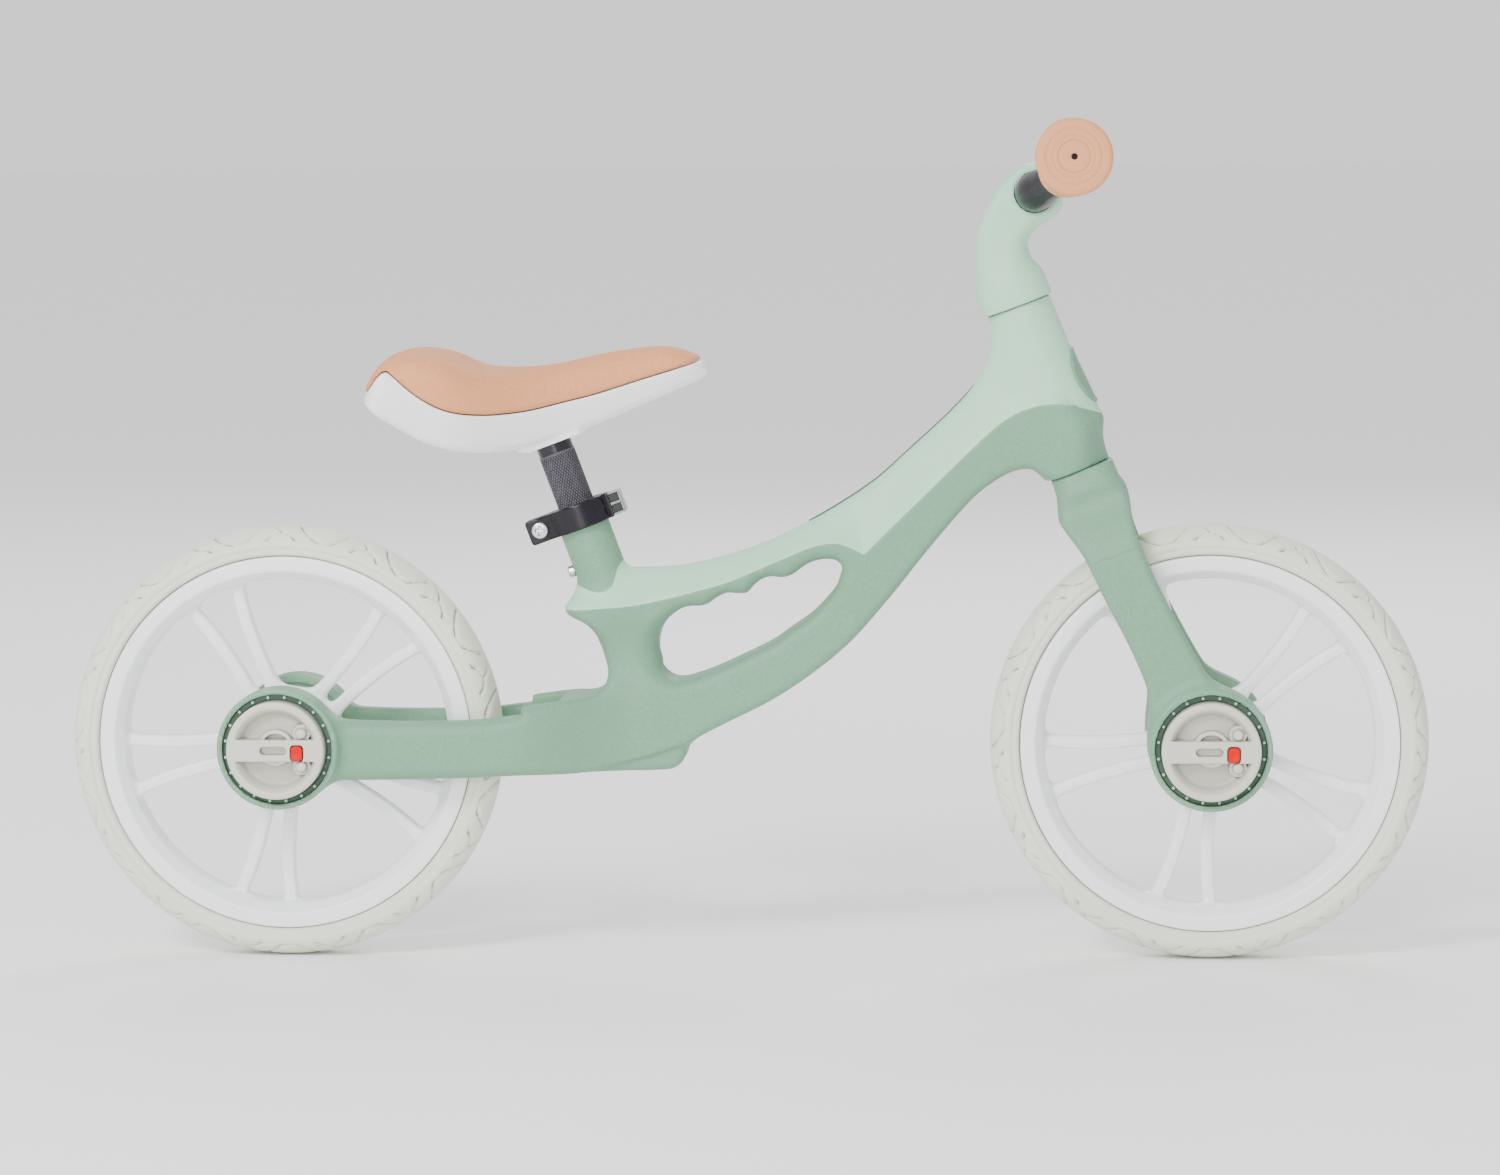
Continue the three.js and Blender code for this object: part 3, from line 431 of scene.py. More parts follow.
def sheet_faces(rows, columns):
    """Faces of a closed plate, from a grid of vertices for its top and then the same for its bottom."""
    ids = np.arange(rows * columns).reshape(rows, columns)
    quads = np.stack([ids[:-1, :-1], ids[1:, :-1], ids[1:, 1:], ids[:-1, 1:]], -1).reshape(-1, 4)
    rim = np.concatenate([ids[0, :-1], ids[:-1, -1], ids[-1, :0:-1], ids[:0:-1, 0]])
    below = rows * columns
    walls = np.stack([rim, np.roll(rim, -1), np.roll(rim, -1) + below, rim + below], 1)
    return quads.tolist() + (quads[:, ::-1] + below).tolist() + walls[:, ::-1].tolist()


# ---- materials ---------------------------------------------------------------------------


class Finish:
    """Builds one node material: a principled shader with procedural detail around it."""

    def __init__(self, slot, colour, roughness, metallic=0.0, coat=0.0, sheen=0.0, subsurface=0.0,
                 specular=0.5):
        self.material = bpy.data.materials.new(slot + "_look")
        self.material["slot"] = slot
        self.material.use_nodes = True
        self.tree = self.material.node_tree
        self.shader = self.tree.nodes["Principled BSDF"]
        self.colour = (*colour, 1)
        self.shader.inputs["Base Color"].default_value = self.colour
        self.shader.inputs["Roughness"].default_value = roughness
        self.shader.inputs["Metallic"].default_value = metallic
        self.shader.inputs["Specular IOR Level"].default_value = specular
        self.shader.inputs["Coat Weight"].default_value = coat
        self.shader.inputs["Coat Roughness"].default_value = 0.12
        self.shader.inputs["Sheen Weight"].default_value = sheen
        self.shader.inputs["Subsurface Weight"].default_value = subsurface
        self.shader.inputs["Subsurface Scale"].default_value = 0.004
        self.place = self.node("ShaderNodeTexCoord").outputs["Object"]
        self.base, self.rough, self.normal = None, None, None

    def node(self, kind, **settings):
        node = self.tree.nodes.new(kind)
        for name, value in settings.items():
            setattr(node, name, value)
        return node

    def link(self, source, target):
        self.tree.links.new(source, target)

    def noise(self, per_metre, detail=4.0, stretch=(1, 1, 1), roughness=0.55):
        mapping = self.node("ShaderNodeMapping")
        mapping.inputs["Scale"].default_value = stretch
        self.link(self.place, mapping.inputs["Vector"])
        noise = self.node("ShaderNodeTexNoise")
        noise.inputs["Scale"].default_value = per_metre
        noise.inputs["Detail"].default_value = detail
        noise.inputs["Roughness"].default_value = roughness
        self.link(mapping.outputs["Vector"], noise.inputs["Vector"])
        return noise.outputs["Fac"]

    def spread(self, factor, low, high, start=0.3, end=0.7):
        """Maps a factor to values from low to high."""
        remap = self.node("ShaderNodeMapRange")
        for name, value in (("From Min", start), ("From Max", end), ("To Min", low), ("To Max", high)):
            remap.inputs[name].default_value = value
        self.link(factor, remap.inputs["Value"])
        return remap.outputs["Result"]

    def tint(self, factor, colour, amount):
        """Mixes a second colour into the base where factor is high."""
        mix = self.node("ShaderNodeMix", data_type="RGBA")
        mix.inputs["A"].default_value = self.colour
        if self.base:
            self.link(self.base, mix.inputs["A"])
        mix.inputs["B"].default_value = (*colour, 1)
        self.link(self.spread(factor, 0, amount), mix.inputs["Factor"])
        self.base = mix.outputs["Result"]
        return self

    def vary_roughness(self, factor, low, high):
        self.rough = self.spread(factor, low, high)
        return self

    def bump(self, height, distance_mm, strength=1.0):
        bump = self.node("ShaderNodeBump")
        bump.inputs["Distance"].default_value = distance_mm * MM
        bump.inputs["Strength"].default_value = strength
        self.link(height, bump.inputs["Height"])
        if self.normal:
            self.link(self.normal, bump.inputs["Normal"])
        self.normal = bump.outputs["Normal"]
        return self

    def worn_edges(self, colour, amount, start=0.52, end=0.62):
        """Lightens raised edges a little, as handling does."""
        point = self.node("ShaderNodeNewGeometry").outputs["Pointiness"]
        return self.tint(self.spread(point, 0, 1, start, end), colour, amount)

    def crevices(self, colour, amount):
        """Darkens grooves and inner corners, where dust and shade collect."""
        point = self.node("ShaderNodeNewGeometry").outputs["Pointiness"]
        return self.tint(self.spread(point, 1, 0, 0.44, 0.495), colour, amount)

    def recess(self, low, high, colour, amount):
        """Painted shade: darkens what lies nearer the bike's middle plane than high, most where it is nearer
        than low.
        """
        split = self.node("ShaderNodeSeparateXYZ")
        self.link(self.place, split.inputs[0])
        depth = self.node("ShaderNodeMath", operation="ABSOLUTE")
        self.link(split.outputs["Y"], depth.inputs[0])
        return self.tint(self.spread(depth.outputs[0], 1, 0, low * MM, high * MM), colour, amount)

    def done(self):
        for source, name in ((self.base, "Base Color"), (self.rough, "Roughness"), (self.normal, "Normal")):
            if source:
                self.link(source, self.shader.inputs[name])
        return self.material


def lighter(colour, amount):
    return tuple(c + (1 - c) * amount for c in colour)


def darker(colour, amount):
    return tuple(c * (1 - amount) for c in colour)


def satin_paint(slot, colour, roughness=0.42):
    """Powder-coated casting: faint orange peel, cloudy gloss and slightly rubbed edges."""
    skin = Finish(slot, colour, roughness, specular=0.28)
    skin.tint(skin.noise(9, 3), darker(colour, 0.10), 0.55)
    skin.tint(skin.noise(900, 2), lighter(colour, 0.10), 0.5)
    skin.worn_edges(lighter(colour, 0.25), 0.3)
    skin.vary_roughness(skin.noise(35, 4), roughness - 0.05, roughness + 0.08)
    skin.bump(skin.noise(420, 3), 0.06, 0.35)
    skin.bump(skin.noise(2600, 2), 0.02, 0.3)
    return skin.done()


def gloss_black(slot, colour, roughness=0.3, specular=0.14):
    """Gloss black paint with a faint violet cast, fine hairline scuffs and rubbed edges."""
    skin = Finish(slot, colour, roughness, specular=specular)
    skin.tint(skin.noise(60, 4), (colour[0] * 1.5, colour[1], colour[2] * 1.9), 0.7)
    skin.worn_edges((0.12, 0.12, 0.13), 0.6)
    skin.vary_roughness(skin.noise(160, 5, (1, 6, 1)), roughness - 0.06, roughness + 0.1)
    skin.bump(skin.noise(700, 3), 0.03, 0.3)
    return skin.done()


def knurled_paint(slot, colour):
    """Black paint over knurling on the seat post, lightened where it stands proud: partly rubbed wear, partly
    a painted highlight on the ridges.
    """
    skin = Finish(slot, colour, 0.3, specular=0.4)
    skin.tint(skin.noise(60, 4), (colour[0] * 1.5, colour[1], colour[2] * 1.9), 0.7)
    away = skin.node("ShaderNodeVectorMath", operation="SUBTRACT")
    skin.link(skin.place, away.inputs[0])
    away.inputs[1].default_value = SEAT_MARK * MM
    across = skin.node("ShaderNodeVectorMath", operation="CROSS_PRODUCT")
    skin.link(away.outputs["Vector"], across.inputs[0])
    across.inputs[1].default_value = SEAT_UP
    radius = skin.node("ShaderNodeVectorMath", operation="LENGTH")
    skin.link(across.outputs["Vector"], radius.inputs[0])
    proud = skin.spread(radius.outputs["Value"], 0, 1, (POST_RADIUS - KNURL_RISE) * MM, POST_RADIUS * MM)
    # painted highlight, with some rubbed wear: the knurl's ridges are lightened
    skin.tint(proud, (0.1, 0.095, 0.115), 0.8)
    skin.vary_roughness(skin.noise(160, 5, (1, 6, 1)), 0.18, 0.32)
    skin.bump(skin.noise(700, 3), 0.03, 0.3)
    return skin.done()


def brushed_metal(slot, colour, roughness):
    """Turned or plated steel with fine streaks."""
    skin = Finish(slot, colour, roughness, metallic=1.0)
    skin.tint(skin.noise(500, 5, (1, 12, 1)), darker(colour, 0.25), 0.7)
    # painted shade, with some dust, in the screws' slots and inner corners
    skin.crevices(darker(colour, 0.7), 0.8)
    skin.vary_roughness(skin.noise(900, 4, (1, 14, 1)), roughness - 0.08, roughness + 0.14)
    skin.bump(skin.noise(1500, 3, (1, 12, 1)), 0.02, 0.3)
    return skin.done()


def moulded_plastic(slot, colour, roughness, grain_mm=0.03, coat=0.0, specular=0.5, recess=None):
    """Moulded plastic: fine spark-eroded grain, flow clouding and softly polished edges.

    recess may give two depths from the bike's middle plane; hollows that lie between them get painted shade.
    """
    skin = Finish(slot, colour, roughness, coat=coat, specular=specular)
    skin.tint(skin.noise(18, 4), darker(colour, 0.05), 0.7)
    skin.worn_edges(lighter(colour, 0.3), 0.35)
    # painted shade, with some dust, in grooves and inner corners
    skin.crevices(darker(colour, 0.35), 0.5)
    if recess:
        # painted shade on the knob dish's walls and deeper in its corners
        skin.recess(*recess, darker(colour, 0.3), 0.7)
        skin.crevices(darker(colour, 0.6), 0.8)
    skin.vary_roughness(skin.noise(120, 5), roughness - 0.05, roughness + 0.08)
    skin.bump(skin.noise(1800, 3), grain_mm, 0.35)
    return skin.done()


def foam_tyre(slot, colour):
    """Pale solid foam: matte, slightly mottled, with closed-cell pitting, and painted shade with some dust in
    the tread's grooves.
    """
    skin = Finish(slot, colour, 0.82, specular=0.3)
    skin.tint(skin.noise(14, 5), darker(colour, 0.10), 0.6)
    skin.tint(skin.noise(420, 4), lighter(colour, 0.25), 0.35)
    # painted shade, with some dust, in the tread's grooves
    skin.crevices(darker(colour, 0.6), 0.85)
    skin.vary_roughness(skin.noise(90, 4), 0.74, 0.9)
    skin.bump(skin.noise(1300, 4), 0.08, 0.4)
    return skin.done()


def soft_skin(slot, colour):
    """Peach polyurethane skin over foam: pebbled grain, soft sheen and faint shading."""
    skin = Finish(slot, colour, 0.68, subsurface=0.08, specular=0.14)
    cells = skin.node("ShaderNodeTexVoronoi", feature="DISTANCE_TO_EDGE")
    cells.inputs["Scale"].default_value = 1100
    skin.link(skin.place, cells.inputs["Vector"])
    skin.tint(skin.noise(11, 4), darker(colour, 0.08), 0.7)
    skin.tint(skin.noise(700, 3), lighter(colour, 0.16), 0.4)
    skin.vary_roughness(skin.noise(60, 4), 0.62, 0.76)
    skin.bump(skin.spread(cells.outputs["Distance"], 0, 1, 0, 0.25), 0.05, 0.45)
    skin.bump(skin.noise(260, 3), 0.08, 0.25)
    return skin.done()


def grip_rubber(slot, colour):
    """Soft matte rubber with a dusty grain."""
    skin = Finish(slot, colour, 0.68, sheen=0.06, specular=0.25)
    skin.tint(skin.noise(30, 4), darker(colour, 0.09), 0.7)
    skin.tint(skin.noise(900, 3), lighter(colour, 0.18), 0.4)
    skin.vary_roughness(skin.noise(80, 4), 0.62, 0.78)
    skin.bump(skin.noise(1500, 4), 0.06, 0.4)
    return skin.done()


def frosted_cap(slot, colour):
    """Pale translucent plastic."""
    skin = Finish(slot, colour, 0.3, subsurface=0.2)
    skin.shader.inputs["Transmission Weight"].default_value = 0.15
    skin.shader.inputs["IOR"].default_value = 1.46
    skin.tint(skin.noise(200, 3), lighter(colour, 0.3), 0.6)
    skin.vary_roughness(skin.noise(300, 3), 0.24, 0.4)
    skin.bump(skin.noise(1200, 2), 0.02, 0.3)
    return skin.done()


# linear colours
LIGHT_SAGE = (0.38, 0.66, 0.455)
DARK_SAGE = (0.142, 0.305, 0.187)
PEACH = (0.68, 0.275, 0.115)

light_paint = satin_paint("light_paint", LIGHT_SAGE)
dark_paint = satin_paint("dark_paint", DARK_SAGE, 0.45)
deep_green = moulded_plastic("deep_green", (0.045, 0.095, 0.06), 0.5)
black_paint = gloss_black("black_paint", (0.004, 0.003, 0.006))
clamp_black = gloss_black("black_paint", (0.005, 0.004, 0.007), 0.24, 0.32)
knurled_black = knurled_paint("black_paint", (0.012, 0.009, 0.015))
steel = brushed_metal("steel", (0.52, 0.53, 0.55), 0.32)
zinc = brushed_metal("zinc", (0.74, 0.75, 0.77), 0.3)
tyre_foam = foam_tyre("tyre", (0.73, 0.77, 0.62))
rim_white = moulded_plastic("rim_white", (0.93, 0.935, 0.945), 0.32, coat=0.25)
saddle_white = moulded_plastic("saddle_white", (0.93, 0.935, 0.94), 0.2, 0.01, coat=0.5)
saddle_skin = soft_skin("saddle_skin", PEACH)
grip_skin = grip_rubber("grip_rubber", PEACH)
dark_insert = moulded_plastic("black_paint", (0.03, 0.036, 0.032), 0.4, specular=0.2)
# the knobs' dishes get painted shade below their faces
beige_plastic = moulded_plastic("beige_plastic", (0.58, 0.575, 0.49), 0.42, coat=0.1,
                                recess=(KNOB_FLOOR, KNOB_FACE - 0.6))
orange_plastic = moulded_plastic("orange_plastic", (0.62, 0.005, 0.0003), 0.35, 0.01, specular=0.12)
clear_grey = frosted_cap("clear_grey", (0.2, 0.215, 0.205))


# ---- frame casting -----------------------------------------------------------------------

# Lines of the casting in the side view, as (x, z). The crown is the top tube's upper edge, and the
# crease runs along the flank and parts the two colours.
CROWN = spline([
    (-111.4, 229.5), (-107.8, 235.6), (-103, 241.4), (-96, 246), (-86, 249), (-61, 249.6), (-35.5, 251.5),
    (2.9, 261.7), (41.2, 278.9), (79.4, 302.4), (104.9, 324.6), (130.3, 348), (148, 368), (160, 392),
])
CREASE = np.vstack([
    spline([
        (-150, 221.5), (-118, 223), (-96, 224.8), (-72, 226.8), (-52, 230.6), (-32, 235.7), (-8, 242.6),
        (30, 258.6), (45, 264.5), (57.8, 266.5), (68, 263.8), (75, 260.4),
    ]),
    spline([
        (76.4, 259.2), (93, 275.6), (118.3, 300.1), (143.4, 324.6), (156, 336.5), (168.5, 345.9),
        (181, 351.5), (193.5, 354), (206, 353.3), (226.5, 347), (250, 336),
    ]),
])
UNDERSIDE = spline([
    (-37, 134), (-34.4, 137.5), (-28, 143), (-8.8, 152.9), (16.6, 165.7), (42.1, 182.3), (67.4, 203.2),
    (92.8, 231.8), (118.1, 263.4), (143.3, 292.4), (158, 304.5), (170, 311), (181, 312.6), (192, 308),
    (206, 304),
])
KEEL_FRONT = arc((-50, 134.5), 13, 270, 356, 8)
COLUMN_REAR = spline([
    (-140, 163.5), (-112.8, 168), (-97, 169.5), (-89, 175.5), (-86.8, 184.3), (-89, 196.5),
    (-93.6, 206.8), (-98.6, 213.2), (-103.5, 216.3), (-109.2, 218.4), (-113.4, 220.6), (-115.2, 224.2),
])
# where the seat tube's dark paint ends, in the side view
TUBE_FOOT = spline([
    (-150, 240), (-112, 239.4), (-106.3, 238.6), (-101.8, 237.2), (-97, 235.6), (-91.7, 234.8),
    (-86.9, 236), (-83.4, 238.8), (-81.7, 243.4), (-80.6, 248.6), (-79, 252), (-76.8, 254.8), (-68, 262),
])
# upper edge of the rear stays
STAY_TOP = spline([(-310, 160), (-262, 156.2), (-222, 154.6), (-175, 155.2), (-150, 157.6), (-140, 159)])
# the grab hole, with finger waves along its upper edge
HOLE = spline([
    (-54.8, 204), (-52.4, 212), (-46.5, 219.5), (-39.3, 224.6), (-33, 226.2), (-27.4, 226.3), (-22, 228),
    (-16, 232.2), (-10, 234.6), (-3, 234.2), (2.6, 235), (7, 239.6), (12, 243.4), (18, 245), (25, 244.4),
    (31, 246.2), (39.5, 252.2), (46, 255), (54, 256), (59.5, 254.6), (62.3, 251), (61.5, 246.4),
    (57.2, 236), (44, 221.3), (29, 210.4), (14.5, 200.7), (-15, 186.7), (-30, 181), (-38.6, 178.9),
    (-45, 179.3), (-50.6, 183.2), (-54.2, 189.4), (-55.7, 197),
])
# height along the steering axis and radius at the head tube's front
HEAD_FRONT = spline([
    (-122, 19.8), (-106, 19.9), (-97, 20.9), (-90.5, 23.4), (-85.5, 25.4), (-81, 25.6), (-74, 24.5),
    (-63, 23.5), (-50, 22.3), (-36, 21.4), (-17, 21), (2, 20.6),
])
# what lies below this line is the narrower keel
KEEL_EDGE = [(-150, 60), (60, 60), (60, 158), (-30, 141), (-60, 131), (-112, 118.6), (-150, 115)]
TAIL_FLOOR = [(-310, 117.5), (-240, 117.4), (-185, 118.4), (-140, 120.5), (-116, 120.4), (-60, 120.9)]
HEAD_PROW = [(216, 328), (193, 394), (170, 400)]

body_outline = Outline(np.vstack([
    TAIL_FLOOR, KEEL_FRONT, UNDERSIDE, HEAD_PROW, CROWN[::-1], COLUMN_REAR[::-1], STAY_TOP[::-1],
]))
hole_outline = Outline(HOLE)
tube_foot = Outline(np.vstack([TUBE_FOOT, [(-68, 330), (-150, 330)]]))
above_crease = Outline(np.vstack([CREASE, [(300, 336), (300, 520), (-200, 520), (-200, 223)]]))
keel_outline = Outline(KEEL_EDGE)

CROWN_HALF = 8.5
TAIL_CENTRE = -92.0
WAIST = (-70, 197)  # middle of the narrow column, in the side view


def body_width(x, z):
    """Half width of the casting at each place in the side view."""
    rise = -above_crease(x, z)
    depth = np.maximum(-body_outline(x, z), 0)
    slope = np.clip(rise / np.maximum(rise + depth, 1), 0, 1)
    light = BODY_HALF - (BODY_HALF - CROWN_HALF) * slope
    below = np.maximum(-rise, 0)
    waist = 6.0 * np.exp(-((x - WAIST[0]) / 26) ** 2 - ((z - WAIST[1]) / 17) ** 2)
    spread = (STAY_HALF - BODY_HALF) * ramp(x, -68, -150) * ramp(z, 190, 160)
    dark = BODY_HALF - 0.06 * np.minimum(below, 40) - waist + spread
    dark = dark - 3.0 * ramp(-keel_outline(x, z), -1.2, 1.2) * ramp(x, -122, -104)
    width = np.where(rise > 0, light, dark)
    tail = np.sqrt(np.maximum(BODY_HALF**2 - np.minimum(x - TAIL_CENTRE, 0) ** 2, 16))
    return np.where(z > 200, np.minimum(width, smooth_min(width, tail, 2)), width)


def edge_radius(x, z):
    """How round the casting's edges are at each place in the side view."""
    column = 9.0 * np.exp(-((x - WAIST[0]) / 22) ** 2 - ((z - WAIST[1]) / 22) ** 2)
    lip = 3.0 * ramp(hole_outline(x, z), 16, 4)
    stays = 2.5 * ramp(x, -110, -160)
    return 5.0 + column + lip + stays


def cup_field(x, side_y, z, axle):
    """Distance from an axle in the side view, and the plain hub cup about it."""
    reach = np.hypot(x - axle[0], z - axle[2])
    return reach, rod(reach, side_y, CUP_RADIUS, WHEEL_SLOT_HALF, CUP_FACE, 1.6)


def bore_cup(body, reach, side_y):
    """Cuts a cup's outer recess, the shallow ring in its inner face and its axle hole."""
    body = smooth_max(body, -np.maximum(reach - CUP_RECESS_RADIUS, CUP_FLOOR - side_y), 1.0)
    ring = np.maximum(np.abs(reach - 22.5) - 10.5, side_y - WHEEL_SLOT_HALF - 3.5)
    body = smooth_max(body, -ring, 1.2)
    return np.maximum(body, AXLE_RADIUS + GAP - reach)


def head_radius(height, forward_share):
    """The head tube's radius: the pale shell ends in a chin at its front, over the dark body."""
    chin = ramp(forward_share, -0.3, 0.7)
    plain = HEAD_RADIUS_TOP + 0.014 * np.clip(height, -HEAD_LENGTH, 0)
    return plain + (curve_at(HEAD_FRONT, height) - plain) * chin


def frame_field(x, y, z):
    """The whole frame casting, both colours in one."""
    side = smooth_max(body_outline(x, z), -hole_outline(x, z), 3)
    side_y = np.abs(y)
    plate = rounded(side, side_y - body_width(x, z), edge_radius(x, z))
    head_h, head_f, head_r = about(x, y, z, HEAD_TOP, STEER_UP)
    swell = head_radius(head_h, head_f / np.maximum(head_r, 1))
    head = np.maximum(0.9 * (head_r - swell), span(head_h, -HEAD_LENGTH - 10, 4))
    body = smooth_min(plate, head, 14)
    seat_h, _, seat_r = about(x, y, z, SEAT_MARK, SEAT_UP)
    tube = rod(seat_r, seat_h, SEAT_TUBE_RADIUS, SEAT_TUBE_FOOT, SEAT_TUBE_TOP, 1.0)
    body = smooth_min(body, tube, 6)
    reach, cup = cup_field(x, side_y, z, REAR_AXLE)
    body = smooth_min(body, cup, 9)
    body = smooth_max(body, -np.maximum(reach - STAY_SLOT_RADIUS, side_y - WHEEL_SLOT_HALF), 3)
    body = np.maximum(body, np.where(x < REAR_AXLE[0], reach - CUP_RADIUS, -9.0))
    body = bore_cup(body, reach, side_y)
    body = np.maximum(body, HEAD_BORE - head_r)
    body = np.maximum(body, -np.maximum(seat_r - POST_RADIUS - GAP, POST_BORE_DEPTH - seat_h))
    below_head = np.minimum(-HEAD_LENGTH - head_h, 40 - head_r)
    return smooth_max(body, np.maximum(head_h + 0.2, below_head), 1.2)


def light_border(x, y, z):
    """Positive on the pale upper shell: above the crease and below the seat tube's foot."""
    return np.minimum(-above_crease(x, z), tube_foot(x, z))


def make_frame():
    """Carves the right half of the casting, parts it along the colour border and mirrors both parts."""
    step = 1.6
    verts, quads = carve(frame_field, (-340, -56, 92), (245, 56, 430), step)
    verts, triangles = right_half(verts, quads)
    verts, light, dark = divide(verts, triangles, frame_field, light_border, step * COARSE)
    piece("upper_shell", *mirror_closed(verts, light), light_paint, "frame", ["frame_upper_shell"])
    piece("lower_body", *mirror_closed(verts, dark), dark_paint, "frame", ["frame_lower_body"])


make_frame()

# ---- fork, stem, bar and grips -----------------------------------------------------------

# the fork in the side view: its front edge down, the cup's underside and its rear edge up
FORK_SIDE = np.vstack([
    spline([
        (180, 332), (188, 318), (193.5, 306.1), (197.2, 296.7), (198.3, 288), (198.9, 281),
        (202.5, 274.6), (215.2, 257.9), (227.6, 232.9), (240.7, 207.8), (251.5, 184), (255.2, 170),
        (256.2, 151), (258, 138.5),
    ]),
    [(294, 138.5), (318, 150)],
    spline([
        (316, 164), (305.4, 171.4), (293.6, 182.7), (285.5, 195.2), (271.8, 220.3), (259.3, 245.4),
        (248.7, 270.4), (245.2, 283), (243.4, 295), (241, 302), (236.9, 307.8), (231.9, 319.7),
        (225, 334),
    ]),
])
# height along the steering axis and half width over both blades
FORK_WIDTHS = spline([
    (-100, 21), (-110, 21.5), (-121, 26), (-133, 25.5), (-150, 36), (-165, 44), (-182, STAY_HALF),
    (-320, STAY_HALF),
])

fork_outline = Outline(FORK_SIDE)


def fork_field(x, y, z):
    """Crown, two blades and hub cups, with a socket for the steerer."""
    head_h, _, head_r = about(x, y, z, HEAD_TOP, STEER_UP)
    side_y = np.abs(y)
    width = curve_at(FORK_WIDTHS[::-1], head_h)
    edge = 4.5 + 8.0 * ramp(head_h, -142, -112)
    body = rounded(fork_outline(x, z), side_y - width, edge)
    reach, cup = cup_field(x, side_y, z, FRONT_AXLE)
    body = smooth_min(body, cup, 9)
    body = smooth_max(body, -np.maximum(reach - FORK_SLOT_RADIUS, side_y - WHEEL_SLOT_HALF), 3)
    body = bore_cup(body, reach, side_y)
    socket = np.maximum(head_r - STEERER_RADIUS - GAP, -HEAD_LENGTH - 25.3 - head_h)
    body = np.maximum(body, -socket)
    return smooth_max(body, head_h + HEAD_LENGTH + GAP, 1.2)


STEM_SIDE = np.vstack([
    spline([
        (160, 396), (154.2, 408.4), (151.5, 416), (148.9, 427.7), (147, 440.2), (146.9, 452.8),
        (149.6, 465.3), (155.2, 477.9), (162.8, 490.3), (168.6, 498.2),
    ]),
    arc(BAR_CENTRE[[0, 2]], 17.4, 118, -18, 12),
    [(201.6, 477.2), (198.5, 472.6)],
    spline([
        (195.2, 470.6), (190.5, 467), (184.7, 462.6), (180.6, 457.5), (179.8, 451.5), (183.4, 440.1),
        (189.7, 427.5), (196, 414), (202, 400),
    ]),
])
stem_outline = Outline(STEM_SIDE)


def stem_field(x, y, z):
    """The stem from the head tube's top to the eye round the bar, with its two grub screw holes."""
    height, forward, radial = about(x, y, z, HEAD_TOP, STEER_UP)
    side_y = np.abs(y)
    edge = 6.0 + 9.0 * ramp(height, 62, 22)
    body = rounded(stem_outline(x, z), side_y - 20.8 + 1.8 * ramp(height, 10, 40), edge)
    body = smooth_min(body, rod(radial, height, HEAD_RADIUS_TOP - GAP, -8, 20, 6), 10)
    eye = np.hypot(x - BAR_CENTRE[0], z - BAR_CENTRE[2])
    body = smooth_min(body, rod(eye, side_y, 17.2, -21.5, 21.5, 2.5), 4)
    body = smooth_max(body, CLAMPED_RADIUS + 0.45 - eye, 0.8)
    body = np.maximum(body, -np.maximum(radial - STEERER_RADIUS - GAP, height - STEERER_ABOVE - GAP))
    for low, high, level in ((-30, -14, REAR_GRUB_HEIGHT), (10, 30, BAR_GRUB_HEIGHT)):
        hole = np.maximum(np.hypot(y, height - level) - GRUB_HOLE_RADIUS, span(forward, low, high))
        body = smooth_max(body, -hole, 0.5)
    return smooth_max(body, GAP - height, 1.2)


def basis_about(along):
    """Two unit vectors across a direction, the first one level, and its own unit vector."""
    along = np.array(along, float) / np.linalg.norm(along)
    across = np.cross(along, [0, 0, 1.0])
    if np.linalg.norm(across) < 1e-6:
        across = np.array([1.0, 0, 0])
    across /= np.linalg.norm(across)
    return across, np.cross(along, across), along


def turned(profile, centre, along, segments=96, relief=None):
    """A round closed skin from a loop of (radius, height) points about an axis through centre.

    relief(angle, radius, height) may give what is added to the radius of each row's points.
    """
    across, up, along = basis_about(along)
    angle = np.linspace(0, 2 * np.pi, segments, endpoint=False)
    verts, rows = [], []
    for radius, height in profile:
        if radius < 1e-6:
            rows.append([len(verts)] * segments)
            verts.append(centre + along * height)
            continue
        r = ((radius + (relief(angle, radius, height) if relief else 0)) * np.ones(segments))[:, None]
        rows.append(list(range(len(verts), len(verts) + segments)))
        ring = centre + r * np.cos(angle)[:, None] * across + r * np.sin(angle)[:, None] * up
        verts.extend(ring + height * along)
    faces = []
    closed = profile[0][0] > 1e-6 or profile[-1][0] > 1e-6
    for i in range(len(rows) - (0 if closed else 1)):
        a, b = rows[i], rows[(i + 1) % len(rows)]
        for k in range(segments):
            n = (k + 1) % segments
            ring = [a[k], b[k], b[n], a[n]]
            ring = [v for j, v in enumerate(ring) if v != ring[j - 1]]
            if len(ring) > 2:
                faces.append(ring)
    return np.array(verts), outward(np.array(verts), faces)


def outward(verts, faces):
    """Turns a closed skin's faces so that they look out."""
    fans = ((face[0], face[i], face[i + 1]) for face in faces for i in range(1, len(face) - 1))
    volume = sum(np.dot(verts[a], np.cross(verts[b], verts[c])) for a, b, c in fans)
    return faces if volume > 0 else [face[::-1] for face in faces]


def soften(points, radius, steps=4):
    """Rounds the corners of a closed (radius, height) loop."""
    result = []
    for before, here, after in zip(np.roll(points, 1, 0), np.array(points, float), np.roll(points, -1, 0)):
        before, after = before - here, after - here
        reach = min(radius, 0.45 * np.linalg.norm(before), 0.45 * np.linalg.norm(after))
        start = here + before / np.linalg.norm(before) * reach
        end = here + after / np.linalg.norm(after) * reach
        for t in np.linspace(0, 1, steps + 1):
            result.append(tuple((1 - t) ** 2 * start + 2 * t * (1 - t) * here + t**2 * end))
    return result


def grip_line(side):
    """Where a grip starts and ends on the bar, and the unit vector between them."""
    inner, outer = GRIP_INNER * [1, side, 1], GRIP_OUTER * [1, side, 1]
    along = (outer - inner) / np.linalg.norm(outer - inner)
    return inner, outer, along


